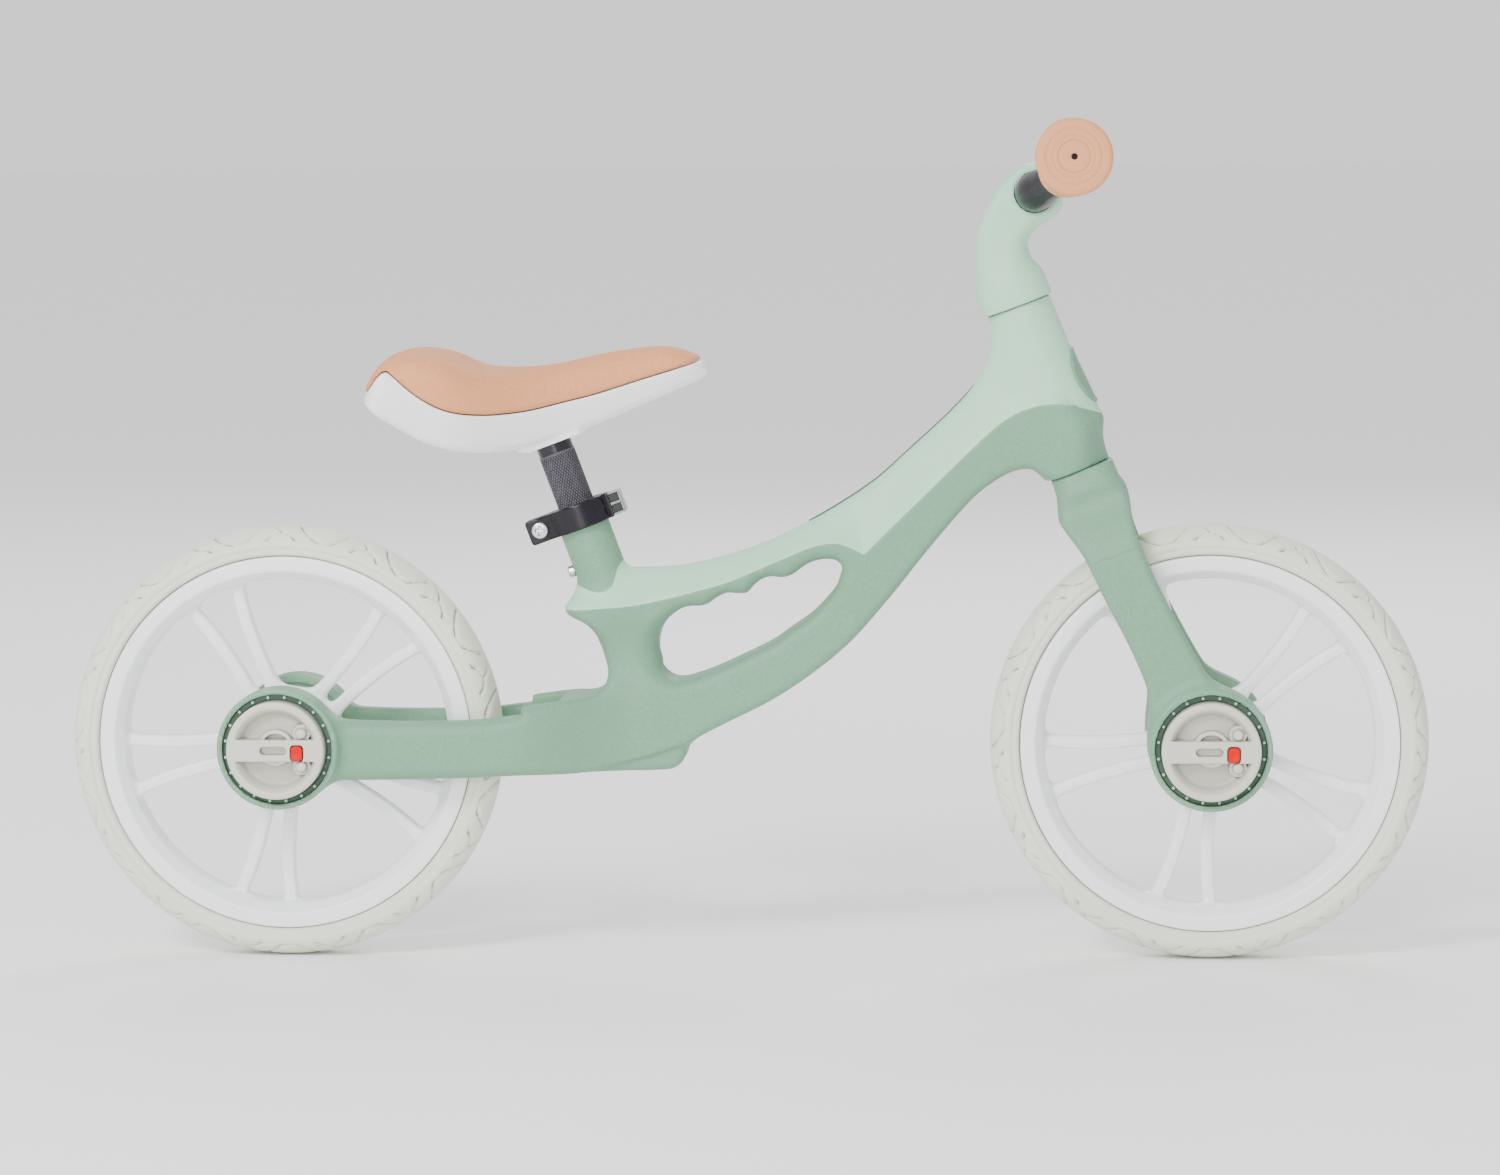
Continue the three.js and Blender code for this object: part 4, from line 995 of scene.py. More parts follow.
def make_bar():
    """One tube, level in the stem, that bends up and back to each grip."""
    path = []
    for side in (-1, 1):
        inner, outer, along = grip_line(side)
        root, lead = BAR_CENTRE + [0, 24 * side, 0], BAR_CENTRE + [0, 52 * side, 0]
        t = np.linspace(0, 1, 25)[:, None]
        bend = (1 - t) ** 3 * root + 3 * t * (1 - t) ** 2 * lead
        bend = bend + 3 * t**2 * (1 - t) * (inner - 26 * along) + t**3 * inner
        half = np.vstack([BAR_CENTRE + [0, 2 * side, 0], bend, outer - 3.9 * along, outer - 3.3 * along])
        path.append(half[::-1] if side < 0 else half)
    path = np.vstack(path)
    segments = 48
    angle = np.linspace(0, 2 * np.pi, segments, endpoint=False)
    tangent = np.gradient(path, axis=0)
    tangent /= np.linalg.norm(tangent, axis=1, keepdims=True)
    across = np.cross([1.0, 0, 0], tangent)
    across /= np.linalg.norm(across, axis=1, keepdims=True)
    up = np.cross(tangent, across)
    radius = BAR_RADIUS + (CLAMPED_RADIUS - BAR_RADIUS) * ramp(np.abs(path[:, 1]), 62, 38)
    radius[[0, -1]] -= 0.6
    out = np.cos(angle)[:, None] * across[:, None] + np.sin(angle)[:, None] * up[:, None]
    verts = (path[:, None] + radius[:, None, None] * out).reshape(-1, 3)
    ring = np.arange(segments)
    faces = []
    for i in range(len(path) - 1):
        a, b = i * segments + ring, (i + 1) * segments + ring
        faces.extend(np.stack([a, b, np.roll(b, -1), np.roll(a, -1)], 1).tolist())
    faces.append(ring.tolist())
    faces.append(((len(path) - 1) * segments + ring)[::-1].tolist())
    piece("riser_bar", verts, outward(verts, faces), black_paint, "steering", ["handlebar"])


def make_grip(name, side):
    """A ribbed rubber sleeve with a flared, closed end."""
    inner, outer, along = grip_line(side)
    length = np.linalg.norm(outer - inner)
    bore = BAR_RADIUS + 0.5
    hole = 1.9
    profile = [(bore, 0), (16.4, 0), (17.4, 0.8), (17.4, 2.6), (16.4, 3.6), (15.6, 5), (15.4, 8)]
    start, end, pitch = 11.0, length - 20, 5.6
    height = start
    while height + pitch < end:
        swell = 1.2 * math.sin(math.pi * (height - start) / (end - start))
        valley, rib = 15.4 + swell, 16.2 + swell
        profile += [(valley, height), (rib, height + 0.7), (rib, height + pitch - 1.6)]
        profile += [(valley, height + pitch - 0.9)]
        height += pitch
    # radius and depth below the end: the flare, the rings moulded in its face and the small centre hole
    flare = [(16, 18), (17.6, 13), (21.4, 9.4), (23, 7.4), (23.1, 3.6), (22.3, 1.4)]
    face = [(20.6, 0.55), (17.4, 0.1), (16.9, 0.55), (16.2, 0.55), (15.7, 0.1), (12.9, 0), (12.5, 0.35),
            (12.1, 0), (10.1, 0), (9.6, 0.7), (9.1, 0), (2.4, 0), (hole, 0.5), (hole, 2.95), (bore, 2.95)]
    profile += [(radius, length - sink) for radius, sink in flare + face]
    verts, faces = turned(soften(profile, 0.8, 2), inner, along, 96)
    piece(name, verts, faces, grip_skin, "steering", [name.replace("_sleeve", "")], angle=50)


def make_badge():
    """An oval plate wrapped on the head tube's front, with a raised lip."""
    rows, columns = 40, 40
    v = np.linspace(-1, 1, rows)[:, None] * np.ones(columns)
    u = np.linspace(-1, 1, columns) * np.sqrt(np.maximum(1 - v**2, 0.0004))
    height = BADGE_HEIGHT + v * BADGE_HALF_LENGTH
    angle = np.radians(u * BADGE_HALF_ANGLE)
    share = np.hypot(u, v)
    lip = 0.5 * ramp(np.abs(share - 0.9), 0.07, 0.02)
    layers = []
    for lift in (1.2 + lip - 0.9 * ramp(share, 0.93, 1.0), -0.9):
        r = head_radius(height, np.cos(angle)) + lift
        layers.append(HEAD_TOP + height[..., None] * STEER_UP + (r * np.cos(angle))[..., None] * STEER_FORWARD
                      + (r * np.sin(angle))[..., None] * LEFT)
    verts = np.concatenate(layers).reshape(-1, 3)
    faces = outward(verts, sheet_faces(rows, columns))
    piece("badge_plate", verts, faces, dark_paint, "frame", ["head_badge"], angle=60)


def surface_height(x, y, low, high):
    """Height where the frame's skin is crossed going down at each (x, y), by halving."""
    for _ in range(30):
        middle = (low + high) / 2
        out = frame_field(x, y, middle) > 0
        high, low = np.where(out, middle, high), np.where(out, low, middle)
    return (low + high) / 2


def make_inlay():
    """A narrow strip let into the top tube's crown."""
    count, across = 90, 9
    (start, end), end_radius = INLAY_SPAN, 5
    x = np.linspace(start, end, count)[:, None] * np.ones(across)
    past = np.minimum(x - start + 0.5, end + 0.5 - x) / end_radius
    half = INLAY_HALF * np.sqrt(np.clip(past, 0, 1))
    share = np.linspace(-1, 1, across)[None, :]
    base = curve_at(CROWN, x)
    low = surface_height(x, share * half, base - 25, base + 15)
    proud = 0.15 + 0.55 * ramp(np.abs(share), 1.0, 0.75)
    top = np.stack([x, share * half, low + proud], -1).reshape(-1, 3)
    bottom = np.stack([x, share * half, low - 1.2], -1).reshape(-1, 3)
    verts = np.vstack([top, bottom])
    faces = outward(verts, sheet_faces(count, across))
    piece("crown_strip", verts, faces, deep_green, "frame", ["top_tube_inlay"], angle=60)


carved("fork_casting", fork_field, (185, -56, 92), (340, 56, 330), 1.6, dark_paint, "steering", "fork")
carved("stem_casting", stem_field, (140, -26, 395), (212, 26, 512), 1.2, light_paint, "steering", "stem")
make_bar()
make_grip("right_grip_sleeve", -1)
make_grip("left_grip_sleeve", 1)
make_badge()
make_inlay()

# ---- wheels ------------------------------------------------------------------------------

# distance from the hub along a pair's middle, and each spoke's distance from that middle
SPOKE_LINE = spline([(30, 7.4), (49, 8), (60, 8.9), (72, 10.3), (88, 13.2), (103, 17.2), (114, 21)])
SPOKE_HALF = 4.0
SPOKE_FLARE = np.cos(np.radians(10))
PAIR_PITCH = 360 / SPOKE_PAIRS
# (radius, y) of the left half of the rim's section
RIM_EDGE = [(105.7, 9.4), (110.6, 15.7), (118.3, 15.7), (118.3, 15.1), (110.5, 15.1)]
rim_section = Outline([(r, -y) for r, y in RIM_EDGE] + RIM_EDGE[::-1], 0.25, 30)


def rim_field(u, y, v):
    """Rim, spokes in pairs and hub in one moulding, about the wheel's own centre."""
    reach = np.hypot(u, v)
    turn = np.degrees(np.arctan2(v, u)) - FIRST_PAIR_ANGLE
    turn = np.radians((turn + PAIR_PITCH / 2) % PAIR_PITCH - PAIR_PITCH / 2)
    p, q = reach * np.cos(turn), np.abs(reach * np.sin(turn))
    line = curve_at(SPOKE_LINE, p)
    spoke = np.abs(q - line) * SPOKE_FLARE - SPOKE_HALF
    twin = np.abs(q + line) * SPOKE_FLARE - SPOKE_HALF
    web = smooth_min(np.maximum(spoke, 30 - p), np.maximum(twin, 30 - p), 3)
    web = smooth_min(web, reach - HUB_RADIUS, 9)
    web = smooth_min(web, RIM_INNER_RADIUS + 1.5 - reach, 7)
    web = np.maximum(web, reach - 108)
    side_y = np.abs(y)
    plate = rounded(web, side_y - 5.6, 2.2)
    ring = rim_section(reach, y + 0 * reach) - 1.2
    wheel = smooth_min(plate, ring, 4)
    wheel = smooth_min(wheel, rod(reach, side_y, HUB_RADIUS, -9, 9, 3), 3)
    wheel = smooth_min(wheel, rod(reach, side_y, BARREL_RADIUS, -24, 24, 1.5), 5)
    return smooth_max(wheel, BEARING_RADIUS + GAP - reach, 0.8)


TYRE_SHOULDER = (129.6, 19.2)


def tyre_profile():
    """(radius, y) points from the +Y bead over the tread to the -Y bead, and where the tread lies."""
    side = spline([
        (120.1, 17.2), (121.2, 18.9), (123, 19.3), (124.6, 19.2), (125.8, 19.9), (127.6, 20), TYRE_SHOULDER,
    ], 3)
    tread = spline([TYRE_SHOULDER, (132, 17.6), (134.4, 14.8), (136.6, 10.4), (138, 5.4), (138.5, 0)], 12)
    steps = np.r_[0, np.cumsum(np.hypot(*np.diff(tread, axis=0).T))]
    even = np.linspace(0, steps[-1], 27)
    tread = np.column_stack([np.interp(even, steps, tread[:, i]) for i in (0, 1)])
    seat = TYRE_SEAT_RADIUS
    bead = [(seat, 5), (seat, 13.1), (seat + 0.4, 13.5), (119.4, 13.5), (120, 14)]
    half = np.vstack([bead, side, tread[1:]])
    across = np.r_[np.full(len(half) - len(even) + 1, -1.0), even[1:]]
    full = np.vstack([half, half[-2::-1] * [1, -1]])
    return full, np.r_[across, across[-2::-1]]


TREAD_PITCHES = 15
TREAD_RADIUS = 135  # where the strokes' lengths are true
# strokes of one pitch: where each starts and ends as (share of a pitch, mm in from the shoulder),
# how far it bows towards the crown, its half width and its depth
TREAD_STROKES = (
    ((0.08, 0.4), (0.25, 7.6), 1.3, 0.8, 2.4),
    ((0.25, 7.6), (0.44, 0.4), 1.3, 0.8, 2.4),
    ((0.58, 8.2), (0.74, 0.2), -1.2, 0.8, 2.4),
    ((0.74, 0.2), (0.96, 7.0), -1.2, 0.8, 2.4),
    ((0.25, 7.6), (0.40, 18.5), 1.0, 0.75, 2.0),
    ((0.58, 8.2), (0.50, 15.5), 0.6, 0.75, 2.0),
    ((0.96, 7.0), (1.06, 20.0), -1.0, 0.75, 2.0),
)


def groove(turns, across):
    """Depth of the tread's sipes: turns counts pitches round the tyre, across runs in from the shoulder."""
    depth = np.zeros(np.broadcast(turns, across).shape)
    pitch_mm = 2 * np.pi * TREAD_RADIUS / TREAD_PITCHES
    for (s0, t0), (s1, t1), bow, half, deep in TREAD_STROKES:
        for shift in (-1, 0, 1):
            a, b = (turns % 1 - s0 - shift) * pitch_mm, across - t0
            da, db = (s1 - s0) * pitch_mm, t1 - t0
            length = math.hypot(da, db)
            along = (a * da + b * db) / length
            t = np.clip(along / length, 0, 1)
            off = (b * da - a * db) / length - bow * 4 * t * (1 - t)
            away = np.hypot(off, along - t * length)
            depth = np.maximum(depth, deep * ramp(away, half + 0.7, half - 0.35))
    return depth


def make_tyre(name, axle):
    """The profile turned round the axle, pressed in where the tread's sipes run."""
    segments = 1080
    profile, across = tyre_profile()
    turn = np.arange(segments) / segments
    angle = 2 * np.pi * turn[:, None]
    near = np.arange(len(profile)) >= len(profile) // 2
    turns = turn[:, None] * TREAD_PITCHES + np.where(near, 0.5, 0)
    depth = np.where(across > 0, groove(turns, across[None, :]), 0)
    radius = profile[None, :, 0] - depth
    y = profile[None, :, 1] - 0.5 * depth * np.sign(profile[None, :, 1]) * (profile[None, :, 0] < 134)
    verts = np.stack([axle[0] + radius * np.cos(angle), y + 0 * angle, axle[2] + radius * np.sin(angle)], -1)
    verts = verts.reshape(-1, 3)
    ids = np.arange(segments * len(profile)).reshape(segments, len(profile))
    ahead = np.roll(ids, -1, 0)
    quads = np.stack([ids, ahead, np.roll(ahead, -1, 1), np.roll(ids, -1, 1)], -1).reshape(-1, 4)
    faces = outward(verts, quads.tolist())
    piece(f"{name}_tyre_tread", verts, faces, tyre_foam, f"{name}_wheel", [f"{name}_tyre"], angle=60)


def knob_field(u, y, v, detailed):
    """A dished knob with a bar across it, in its own frame: y grows outwards from the bike's middle.

    detailed adds the slot in the bar and the pocket for the button, which only the right side has.
    """
    reach = np.hypot(u, v)
    body = rod(reach, y, KNOB_RADIUS, CUP_FLOOR + GAP, KNOB_FACE, 1.3)
    wall = DISH_RADIUS - DISH_TAPER * np.clip((KNOB_FACE - y) / (KNOB_FACE - KNOB_FLOOR), 0, 1) ** 0.8
    crown = 1.6 * (1 - np.clip(reach / 22, 0, 1) ** 2)
    dish = smooth_max(reach - wall, KNOB_FLOOR + crown - y, 2.4)
    dish = smooth_max(dish, HANDLE_HALF - np.abs(v), 1.4)
    body = smooth_max(body, -dish, 1.0)
    raised = np.maximum(np.abs(np.hypot(u, v - 1.6) - BOSS_RADIUS) - 1.2, y - KNOB_FACE + 3.2)
    for pin_u, pin_v in PIN_SPOTS:
        spot = np.hypot(u - pin_u, v - pin_v)
        raised = np.minimum(raised, rod(spot, y, 3.2, KNOB_FLOOR - 2, KNOB_FACE - 0.8, 1.4))
        raised = np.minimum(raised, np.maximum(spot - 5.6, y - KNOB_FACE + 4.2))
    inside = np.maximum(np.maximum(reach - 25, 5 - np.abs(v)), KNOB_FLOOR - 2 - y)
    body = smooth_min(body, np.maximum(raised, inside), 0.7)
    body = np.maximum(body, -np.maximum(reach - AXLE_RADIUS - GAP, y - AXLE_POCKET))
    if detailed:
        slot = np.hypot(np.maximum(np.abs(u + 1.3) - 5.9, 0), v) - 2.6
        body = smooth_max(body, -np.maximum(slot, KNOB_FACE - 4.6 - y), 0.5)
        pocket = oblong(u - BUTTON_CENTRE[0], v - BUTTON_CENTRE[1], np.array(BUTTON_HALF) + 0.7, 2.6)
        body = smooth_max(body, -np.maximum(pocket, BUTTON_FLOOR - y), 0.5)
    return body


def button_field(u, y, v):
    """The push button, with rounded corners and a shallow finger dish."""
    a, b = u - BUTTON_CENTRE[0], v - BUTTON_CENTRE[1]
    outline = oblong(a, b, BUTTON_HALF, 2.3)
    dished = 0.5 * np.exp(-(np.hypot(a, b) / 2.6) ** 2)
    return rounded(outline, np.maximum(y - KNOB_FACE - BUTTON_PROUD + dished, BUTTON_FLOOR + 2.4 - y), 0.7)


def make_groove(name, body, axle, side):
    """The dark ring at the bottom of the groove round a knob, and the pale pegs that stand on it."""
    low, high = CUP_FLOOR + 0.2, CUP_FLOOR + 2.6
    ring = [(31.5, low), (34.8, low), (34.8, high), (31.5, high)]
    verts, faces = turned(soften(ring, 0.5), axle, side * LEFT, 180)
    piece(f"{name}_ring", verts, faces, deep_green, body)

    def peg_field(u, y, v):
        plan = oblong(u - PEG_CIRCLE_RADIUS, v, (0.9, 0.85), 0.5)
        return rounded(plan, np.abs(y - high - 0.8) - 1.2, 0.5)

    peg, quads = carve(peg_field, (31, low, -2), (36, high + 3, 2), 0.3)
    verts, faces = [], []
    for number in range(CUP_RIBS):
        turn = 2 * math.pi * (number + 0.5) / CUP_RIBS
        u = peg[:, 0] * math.cos(turn) - peg[:, 2] * math.sin(turn)
        v = peg[:, 0] * math.sin(turn) + peg[:, 2] * math.cos(turn)
        faces.extend((quads[:, ::side] + number * len(peg)).tolist())
        verts.append(axle + np.column_stack([u, side * peg[:, 1], v]))
    piece(f"{name}_pegs", np.vstack(verts), faces, light_paint, body)


def hub_side(name, body, axle, side):
    """The fixed ring in a cup, and what turns in it."""
    label = "right" if side < 0 else "left"
    make_groove(f"{name}_groove_{label}", body, axle, side)

    def field(u, y, v):
        return knob_field(u, y, v, side < 0)

    verts, quads = carve(field, (-33, 42, -33), (33, 60, 33), 0.62)
    verts, quads = verts * [1, side, 1] + axle, quads[:, ::side]
    if side < 0:
        piece(f"{name}_knob_disc", verts, quads, beige_plastic, f"{name}_knob", [f"{name}_release_knob"])
        verts, quads = carve(button_field, (8, 50, -8), (20, 61, 5), 0.4)
        verts, quads = verts * [1, side, 1] + axle, quads[:, ::side]
        node = f"{name}_release_button"
        piece(f"{name}_button_cap", verts, quads, orange_plastic, f"{name}_button", [node])
    else:
        piece(f"{name}_cover_disc", verts, quads, beige_plastic, body, [f"{name}_axle_cover_left"])


def make_wheel(name, body, axle):
    verts, quads = carve(rim_field, (-124, -27, -124), (124, 27, 124), 1.2)
    piece(f"{name}_spoked_rim", verts + axle, quads, rim_white, f"{name}_wheel", [f"{name}_rim"])
    make_tyre(name, axle)
    for side in (-1, 1):
        hub_side(name, body, axle, side)


make_wheel("rear", "frame", REAR_AXLE)
make_wheel("front", "steering", FRONT_AXLE)

# ---- seat --------------------------------------------------------------------------------


def seat_place(forward, left, height):
    """World place of a spot given about the seat tube's axis."""
    forward, left, height = (np.asarray(v, float)[..., None] for v in (forward, left, height))
    return SEAT_MARK + forward * SEAT_FORWARD + left * LEFT + height * SEAT_UP


def seat_piece(name, field, low, high, step, material, body, nodes=()):
    """A piece carved from a field in the seat tube's frame: forward, left and up its axis."""
    verts, quads = carve(field, low, high, step)
    piece(name, seat_place(*verts.T), quads[:, ::-1], material, body, nodes)


def six_sided(low, high):
    """A relief for turned() that makes hexagons of the rows whose radius is between low and high."""

    def relief(angle, radius, height):
        flat = math.cos(math.pi / 6) / np.cos((angle + math.pi / 6) % (math.pi / 3) - math.pi / 6)
        return radius * (flat - 1) if low < radius < high else 0

    return relief


def make_set_screw():
    """The low round head of the set screw at the seat tube's rear, with a hexagon socket."""
    low, high = node_box("seat_tube_set_screw")
    level = ((low + high) / 2 - SEAT_MARK) @ SEAT_UP
    shank = [(0, 12.6), (2.5, 12.6), (2.5, 16.2)]
    head = [(3.8, 16.3), (3.8, 18.9), (3.1, 19.9)]
    socket = [(1.9, 19.9), (1.8, 17.6), (0, 17.6)]
    verts, faces = turned(shank + head + socket, seat_place(0, 0, level), -SEAT_FORWARD, 96, six_sided(1, 2))
    piece("set_screw_head", verts, faces, zinc, "frame", ["seat_tube_set_screw"], angle=30)


def collar_field(p, y, h):
    """The clamp band about the seat tube, with its two screw ears behind and a boss in front."""
    around_post = np.hypot(p, y)
    ear = np.maximum(np.abs(y) - 7.6, np.abs(p + 24) - 10.8)
    front = np.maximum(np.abs(y) - 7.4, np.abs(p - 18.6) - 2.4)
    plan = smooth_min(smooth_min(around_post - 20, ear, 8), front, 2)
    plan = np.maximum(plan, 16.3 - around_post)
    plan = smooth_max(plan, -np.maximum(np.abs(y) - 1, p + 12), 0.4)
    block = rounded(plan, span(h, *COLLAR_SPAN), 0.9)
    corner = rounded(np.abs(p + 2.6) - 32.2, span(h, *COLLAR_SPAN), 2.6)
    block = smooth_max(block, corner, 0.6)
    hole = np.hypot(p - CLAMP_SCREW[0], h - CLAMP_SCREW[1])
    return smooth_max(block, 3.3 - hole, 0.4)


def phillips_field(radius, height, shank, length):
    """A pan-head screw along +Z in its own frame: head above 0, shank below."""

    def field(a, b, c):
        r = np.hypot(a, b)
        dome = height - 0.32 * height * (r / radius) ** 2
        head = smooth_max(smooth_max(r - radius, c - dome, 0.5), -c, 0.2)
        width = 0.13 * radius + 0.2 * np.maximum(c, 0)
        end = 0.58 * radius
        arm, crossed = (np.maximum(np.abs(s) - width, np.abs(t) - end) for s, t in ((a, b), (b, a)))
        head = smooth_max(head, -np.maximum(np.minimum(arm, crossed), 0.12 * height - c), 0.15)
        return np.minimum(head, np.maximum(r - shank, np.maximum(c - 0.3, -length - c)))

    return field


def make_screw(name, node, body, place, along, radius, height, shank, length):
    """A cross-head screw at place, its head towards along; shank is a radius."""
    across, up, along = basis_about(along)
    field = phillips_field(radius, height, shank, length)
    reach = radius + 1
    verts, quads = carve(field, (-reach, -reach, -length - 1), (reach, reach, height + 1), radius / 13)
    verts = place + verts[:, :1] * across + verts[:, 1:2] * up + verts[:, 2:] * along
    faces = outward(verts, quads.tolist())
    return piece(name, verts, faces, zinc, body, [node])


def make_clamp():
    """The band, the cross-head screw through its ears on the right and the nut on the left."""
    low, high = (-36, -22, -1), (24, 22, 20)
    seat_piece("clamp_band", collar_field, low, high, 0.7, clamp_black, "frame", ["seat_clamp_collar"])
    right, left = (seat_place(CLAMP_SCREW[0], y, CLAMP_SCREW[1]) for y in (-7.9, 7.9))
    make_screw("clamp_phillips_screw", "seat_clamp_screw", "frame", right, -LEFT, 5.1, 2.6, 3.0, 20)
    nut = [(3.2, 0), (6.3, 0), (6.3, 3.4), (5.6, 4), (3.2, 4)]
    verts, faces = turned(nut, left, LEFT, 96, six_sided(4, 7))
    piece("clamp_hex_nut", verts, faces, zinc, "frame", ["seat_clamp_nut"], angle=25)


COLLAR_MIDDLE = (COLLAR_SPAN[0] + COLLAR_SPAN[1]) / 2
WINDOW_FORWARD = 24.6
WINDOW_LEVEL = 3.5  # the cap's two windows lie this far above and below the collar's middle


def cap_field(p, y, h):
    """The pale cap in front of the band, with two windows in each side."""
    face = oblong(p - 25.3, h - COLLAR_MIDDLE, (4.1, 7.5), 1.2)
    body = rounded(face, np.abs(y) - 7.2, 1.0)
    for level in (-WINDOW_LEVEL, WINDOW_LEVEL):
        window = np.maximum(np.abs(p - WINDOW_FORWARD) - 3.2, np.abs(h - COLLAR_MIDDLE - level) - 2.7)
        body = smooth_max(body, -np.maximum(window, 5.6 - np.abs(y)), 0.4)
    return body


def cap_core_field(p, y, h):
    """The dark insert that shows through the windows."""
    levels = np.abs(np.abs(h - COLLAR_MIDDLE) - WINDOW_LEVEL) - 2.55
    core = np.maximum(np.abs(p - WINDOW_FORWARD) - 3.05, levels)
    return rounded(core, np.abs(y) - 6.4, 0.5)


def make_clamp_cap():
    low, high = (19, -9, -1), (32, 9, 20)
    seat_piece("clamp_end_cap", cap_field, low, high, 0.5, clear_grey, "frame", ["seat_clamp_cap"])
    seat_piece("clamp_end_cap_core", cap_core_field, (20, -9, 0), (30, 9, 19), 0.5, dark_insert, "frame")


def knurl(angle, radius, height):
    """Crossed fine grooves round the post, fading out towards the band's ends."""
    if not KNURL_SPAN[0] < height < KNURL_SPAN[1]:
        return 0
    turn = angle * KNURL_COUNT / 2
    rise = (height - KNURL_SPAN[0]) / KNURL_PITCH * np.pi
    left, right = np.abs(np.sin(turn + rise)), np.abs(np.sin(turn - rise))
    fade = min(1, (height - KNURL_SPAN[0]) / 2, (KNURL_SPAN[1] - height) / 2)
    return -0.5 * fade * (1 - np.minimum(left, right)) ** 2


def make_post():
    """The post: a tube, knurled between plain ends."""
    heights = np.arange(KNURL_SPAN[0], KNURL_SPAN[1] + 0.01, 0.42)
    low, high = -72, FLANGE_SPAN[0] - 0.1
    wall, plain = POST_RADIUS - 2.2, POST_RADIUS - KNURL_RISE
    profile = [(wall, low), (plain - 0.5, low), (plain, low + 0.6), (plain, KNURL_SPAN[0] - 0.3)]
    profile += [(POST_RADIUS, height) for height in heights]
    profile += [(plain, KNURL_SPAN[1] + 0.3), (plain, high), (wall, high)]
    verts, faces = turned(profile, SEAT_MARK, SEAT_UP, 330, knurl)
    piece("knurled_post", verts, faces, knurled_black, "saddle", ["seat_post"])


make_set_screw()
make_clamp()
make_clamp_cap()
make_post()


# ---- saddle ------------------------------------------------------------------------------

# Lines of the saddle along its middle, as (x, z), then half its plan, as (x, y).
SADDLE_TOP = spline([
    (-246, 352), (-242.3, 361.4), (-237.1, 370.3), (-228.6, 380.5), (-218.9, 386.6), (-206.1, 389.2),
    (-192.5, 388), (-181.5, 384.8), (-172, 380.6), (-162.8, 377.8), (-152, 376.7), (-136, 376.9),
    (-117, 379), (-90, 384.9), (-70, 388), (-55, 389.5), (-45, 389), (-37, 387), (-30.5, 384.6),
    (-25.4, 381.4), (-19.5, 376.8), (-12, 370),
])
SHELL_BOTTOM = spline([
    (-246, 362), (-241.7, 358.9), (-232.3, 349.8), (-219.6, 341.2), (-200.5, 331.7), (-181.3, 326),
    (-162.1, 324.2), (-142.9, 325.8), (-126.9, 329.6), (-108, 335), (-85.3, 344.3), (-58, 355.8),
    (-41, 363.3), (-30.2, 367.9), (-20.3, 372.2), (-12, 375.6),
])
SEAM = spline([
    (-248, 359), (-242, 360), (-234.2, 364.6), (-227.5, 373), (-222.1, 376.6), (-217, 374.6),
    (-203, 363.4), (-189.4, 355.2), (-176.2, 350.9), (-161, 349.3), (-147.8, 349.7), (-132.2, 351.5),
    (-111, 356.4), (-90.7, 361.4), (-63.7, 369.8), (-42.7, 376.1), (-34.1, 378.8), (-27, 381.2),
    (-16, 385),
])
SADDLE_PLAN = spline([
    (-242.5, 0), (-242, 18), (-239.5, 34), (-233, 47), (-222, 56), (-205, 61), (-188, 61), (-172, 57),
    (-155, 49), (-135, 39.5), (-110, 31.5), (-80, 27), (-55, 24), (-38, 20.5), (-27, 15.5), (-20, 9.5),
    (-16.6, 4.5), (-15.6, 0),
])
saddle_plan = Outline(np.vstack([SADDLE_PLAN, SADDLE_PLAN[-2:0:-1] * [1, -1]]), 1.0)


def below_seam(x, z, seam):
    """How far the shell draws in under the seam; its tail follows the bottom line instead."""
    return 0.42 * ramp(x, -244, -205) * np.maximum(seam - z, 0) ** 1.12


def saddle_field(x, y, z):
    """The saddle without its hollow underside, and the height of the seam between pad and shell."""
    seam = curve_at(SEAM, x)
    plan = saddle_plan(x + 0 * y, y + 0 * x)
    half = np.maximum(curve_at(SADDLE_PLAN, x), 8)
    crown = (2.5 + 0.075 * half) * (np.abs(y) / half) ** 2.2
    top = (z - curve_at(SADDLE_TOP, x) + crown) * 0.95
    bottom = (curve_at(SHELL_BOTTOM, x) - z + 0.02 * np.abs(y)) * 0.93
    nose = ramp(x, -62, -30)
    body = smooth_max(plan + 0.6, top, 13 - 8 * nose)
    return smooth_max(body + below_seam(x, z, seam), bottom, 5), seam


def pad_field(x, y, z):
    body, seam = saddle_field(x, y, z)
    return smooth_max(body - 0.5, (seam + 0.5 - z) * 0.9, 3.4)


def box_about_post(x, y, z, wider, low, high, edge):
    """A block in the seat post's frame that is wider than the flange by a margin all round."""
    height, forward, _ = about(x, y, z, SEAT_MARK, SEAT_UP)
    plan = oblong(forward, y, np.array(FLANGE_HALF) + wider, 3)
    return rounded(plan, span(height, low, high), edge)


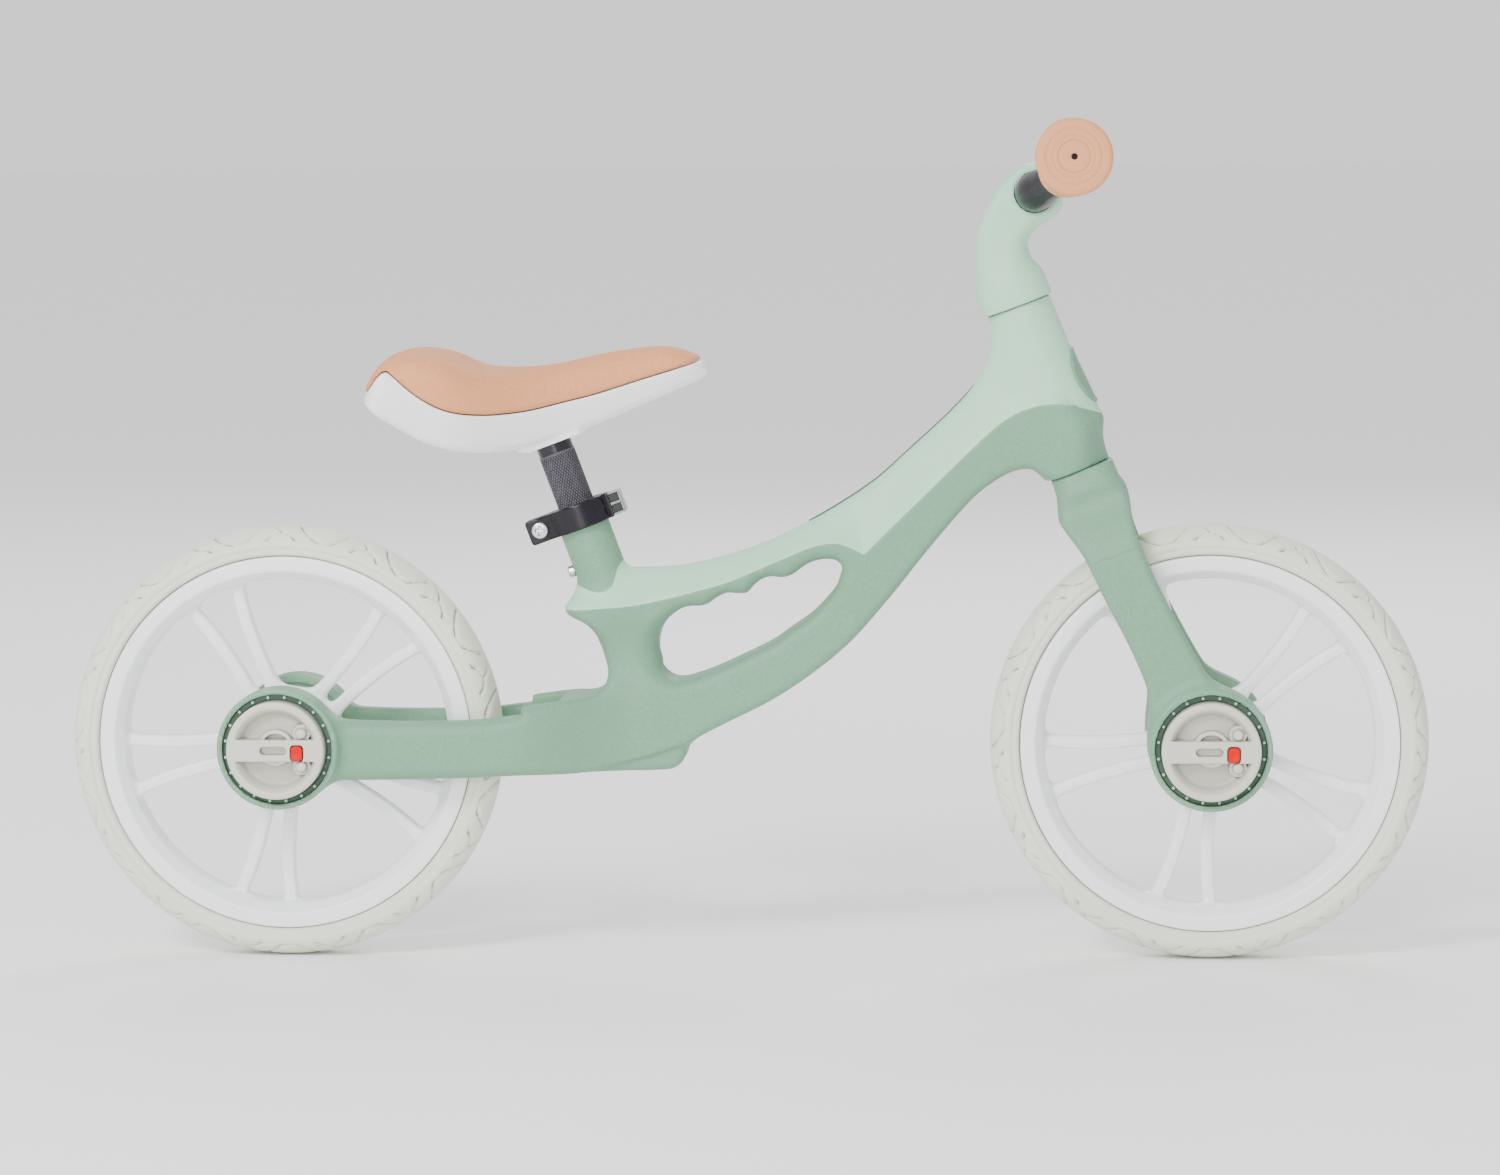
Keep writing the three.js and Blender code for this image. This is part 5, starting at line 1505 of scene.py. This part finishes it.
def shell_field(x, y, z):
    """The white shell: hollow and ribbed below, with a skirt about the post's flange."""
    body, seam = saddle_field(x, y, z)
    shell = smooth_max(body, (z - seam + 0.1) * 0.9, 1.6)
    floor = curve_at(SHELL_BOTTOM, x)
    plan = saddle_plan(x + 0 * y, y + 0 * x) + below_seam(x, z, seam)
    hollow = np.maximum(plan + 9, z - np.minimum(seam, floor + 20) + 6)
    ribs = np.maximum(np.abs(np.abs(y) - 14) - 1.6, floor + 3 - z)
    hollow = smooth_max(hollow, -ribs, 1.5)
    hollow = smooth_max(hollow, -box_about_post(x, y, z, 4.5, SKIRT_FOOT, 90, 2), 2)
    shell = smooth_max(shell, -hollow, 2)
    skirt = np.maximum(box_about_post(x, y, z, 2.7, SKIRT_FOOT, 72, 0.9), z - seam + 2)
    height, forward, _ = about(x, y, z, SEAT_MARK, SEAT_UP)
    skirt = smooth_max(skirt, -0.41 * (forward + 15) - 0.91 * (height - SKIRT_FOOT), 1)
    shell = smooth_min(shell, skirt, 2.5)
    pocket = box_about_post(x, y, z, 0.4, 40, FLANGE_SPAN[1] + GAP, 0.3)
    return smooth_max(shell, -pocket, 0.8)


def flange_field(p, y, h):
    """The plate on top of the post, with four countersunk screw holes."""
    plate = rounded(oblong(p, y, FLANGE_HALF, 3), span(h, *FLANGE_SPAN), 0.8)
    for spot_p, spot_y in SCREW_SPOTS:
        away = np.hypot(p - spot_p, y - spot_y)
        plate = np.maximum(plate, 2.5 - away)
        plate = np.maximum(plate, -np.maximum(away - 3.7, h - SCREW_SEAT))
    return plate


def make_saddle():
    low, high = (-252, -68, 345), (-12, 68, 398)
    pad = carved("padded_top", pad_field, low, high, 1.3, saddle_skin, "saddle", "saddle_pad")
    low = (-252, -68, 316)
    carved("seat_pan", shell_field, low, high, 1.1, saddle_white, "saddle", "saddle_shell")
    low, high = (-24, -21, 51), (24, 21, 66)
    seat_piece("post_flange", flange_field, low, high, 0.9, black_paint, "saddle", ["saddle_flange"])
    for number, (p, y) in enumerate(SCREW_SPOTS, 1):
        place, node = seat_place(p, y, SCREW_SEAT), f"saddle_screw_{number}"
        make_screw(f"flange_screw_{number}", node, "saddle", place, -SEAT_UP, 3.4, 1.5, 2.0, 14)


make_saddle()

# ---- finishes for the nodes that stay as they are ----------------------------------------

STEEL_NODES = ["steerer_tube", "head_bush_upper", "head_bush_lower"]
for end in ("rear", "front"):
    STEEL_NODES += [f"{end}_axle", f"{end}_hub_spacer"]
    for side in ("right", "left"):
        STEEL_NODES += [f"{end}_hub_bearing_{side}", f"{end}_axle_washer_{side}"]
ZINC_NODES = ["stem_grub_screw", "bar_grub_screw"]


def paint_carried(material, names):
    for name in names:
        for slot in bpy.data.objects[name].material_slots:
            slot.material = material


paint_carried(steel, STEEL_NODES)
paint_carried(zinc, ZINC_NODES)

# ---- light, camera and floor -------------------------------------------------------------


CAMERA_PLACE = (0.1976, -2.9784, 0.5349)
CAMERA_TURN = (-0.0652, 0.0997, -0.0069)  # yaw to the left of +Y, pitch down and roll
LENS_MM, SENSOR_MM = 113.2, 36
FLOOR_HALF = 60.0


def make_camera():
    yaw, pitch, roll = CAMERA_TURN
    forward = Vector((math.sin(yaw) * math.cos(pitch), math.cos(yaw) * math.cos(pitch), -math.sin(pitch)))
    right = Vector((math.cos(yaw), -math.sin(yaw), 0))
    up = right.cross(forward)
    turned_right = right * math.cos(roll) + up * math.sin(roll)
    turned_up = up * math.cos(roll) - right * math.sin(roll)
    camera = bpy.data.objects.new("camera", bpy.data.cameras.new("camera"))
    camera.data.lens = LENS_MM
    camera.data.sensor_width = SENSOR_MM
    camera.data.clip_end = 50
    basis = Matrix((turned_right, turned_up, -forward)).transposed()
    camera.matrix_world = Matrix.Translation(CAMERA_PLACE) @ basis.to_4x4()
    bpy.context.scene.collection.objects.link(camera)
    bpy.context.scene.camera = camera


def make_light(name, place, target, size, watts):
    data = bpy.data.lights.new(name, "AREA")
    data.shape = "DISK"
    data.size = size
    data.energy = watts
    lamp = bpy.data.objects.new(name, data)
    lamp.location = place
    lamp.rotation_euler = (Vector(target) - Vector(place)).to_track_quat("-Z", "Y").to_euler()
    bpy.context.scene.collection.objects.link(lamp)


def make_stage():
    mesh = bpy.data.meshes.new("floor")
    corners = [(x * FLOOR_HALF, y * FLOOR_HALF, 0) for x, y in ((-1, -1), (1, -1), (1, 1), (-1, 1))]
    mesh.from_pydata(corners, [], [(0, 1, 2, 3)])
    paper = Finish("floor_paper", (0.975, 0.975, 0.975), 1.0)
    paper.shader.inputs["Specular IOR Level"].default_value = 0.0
    paper.tint(paper.noise(3, 3), (0.965, 0.965, 0.965), 0.3)
    mesh.materials.append(paper.done())
    floor = bpy.data.objects.new("floor", mesh)
    bpy.context.scene.collection.objects.link(floor)
    world = bpy.data.worlds.new("studio")
    world.use_nodes = True
    sky = world.node_tree.nodes["Background"]
    sky.inputs["Color"].default_value = (1, 1, 1, 1)
    sky.inputs["Strength"].default_value = 1.15
    bpy.context.scene.world = world
    make_light("key", (-1.5, -2.4, 2.3), (0, 0, 0.25), 1.0, 90)
    make_light("front", (-0.3, -3.4, 0.9), (0, 0, 0.25), 1.4, 50)
    make_light("back", (0.4, 2.4, 2.2), (0, 0, 0.3), 1.6, 40)


make_camera()
make_stage()
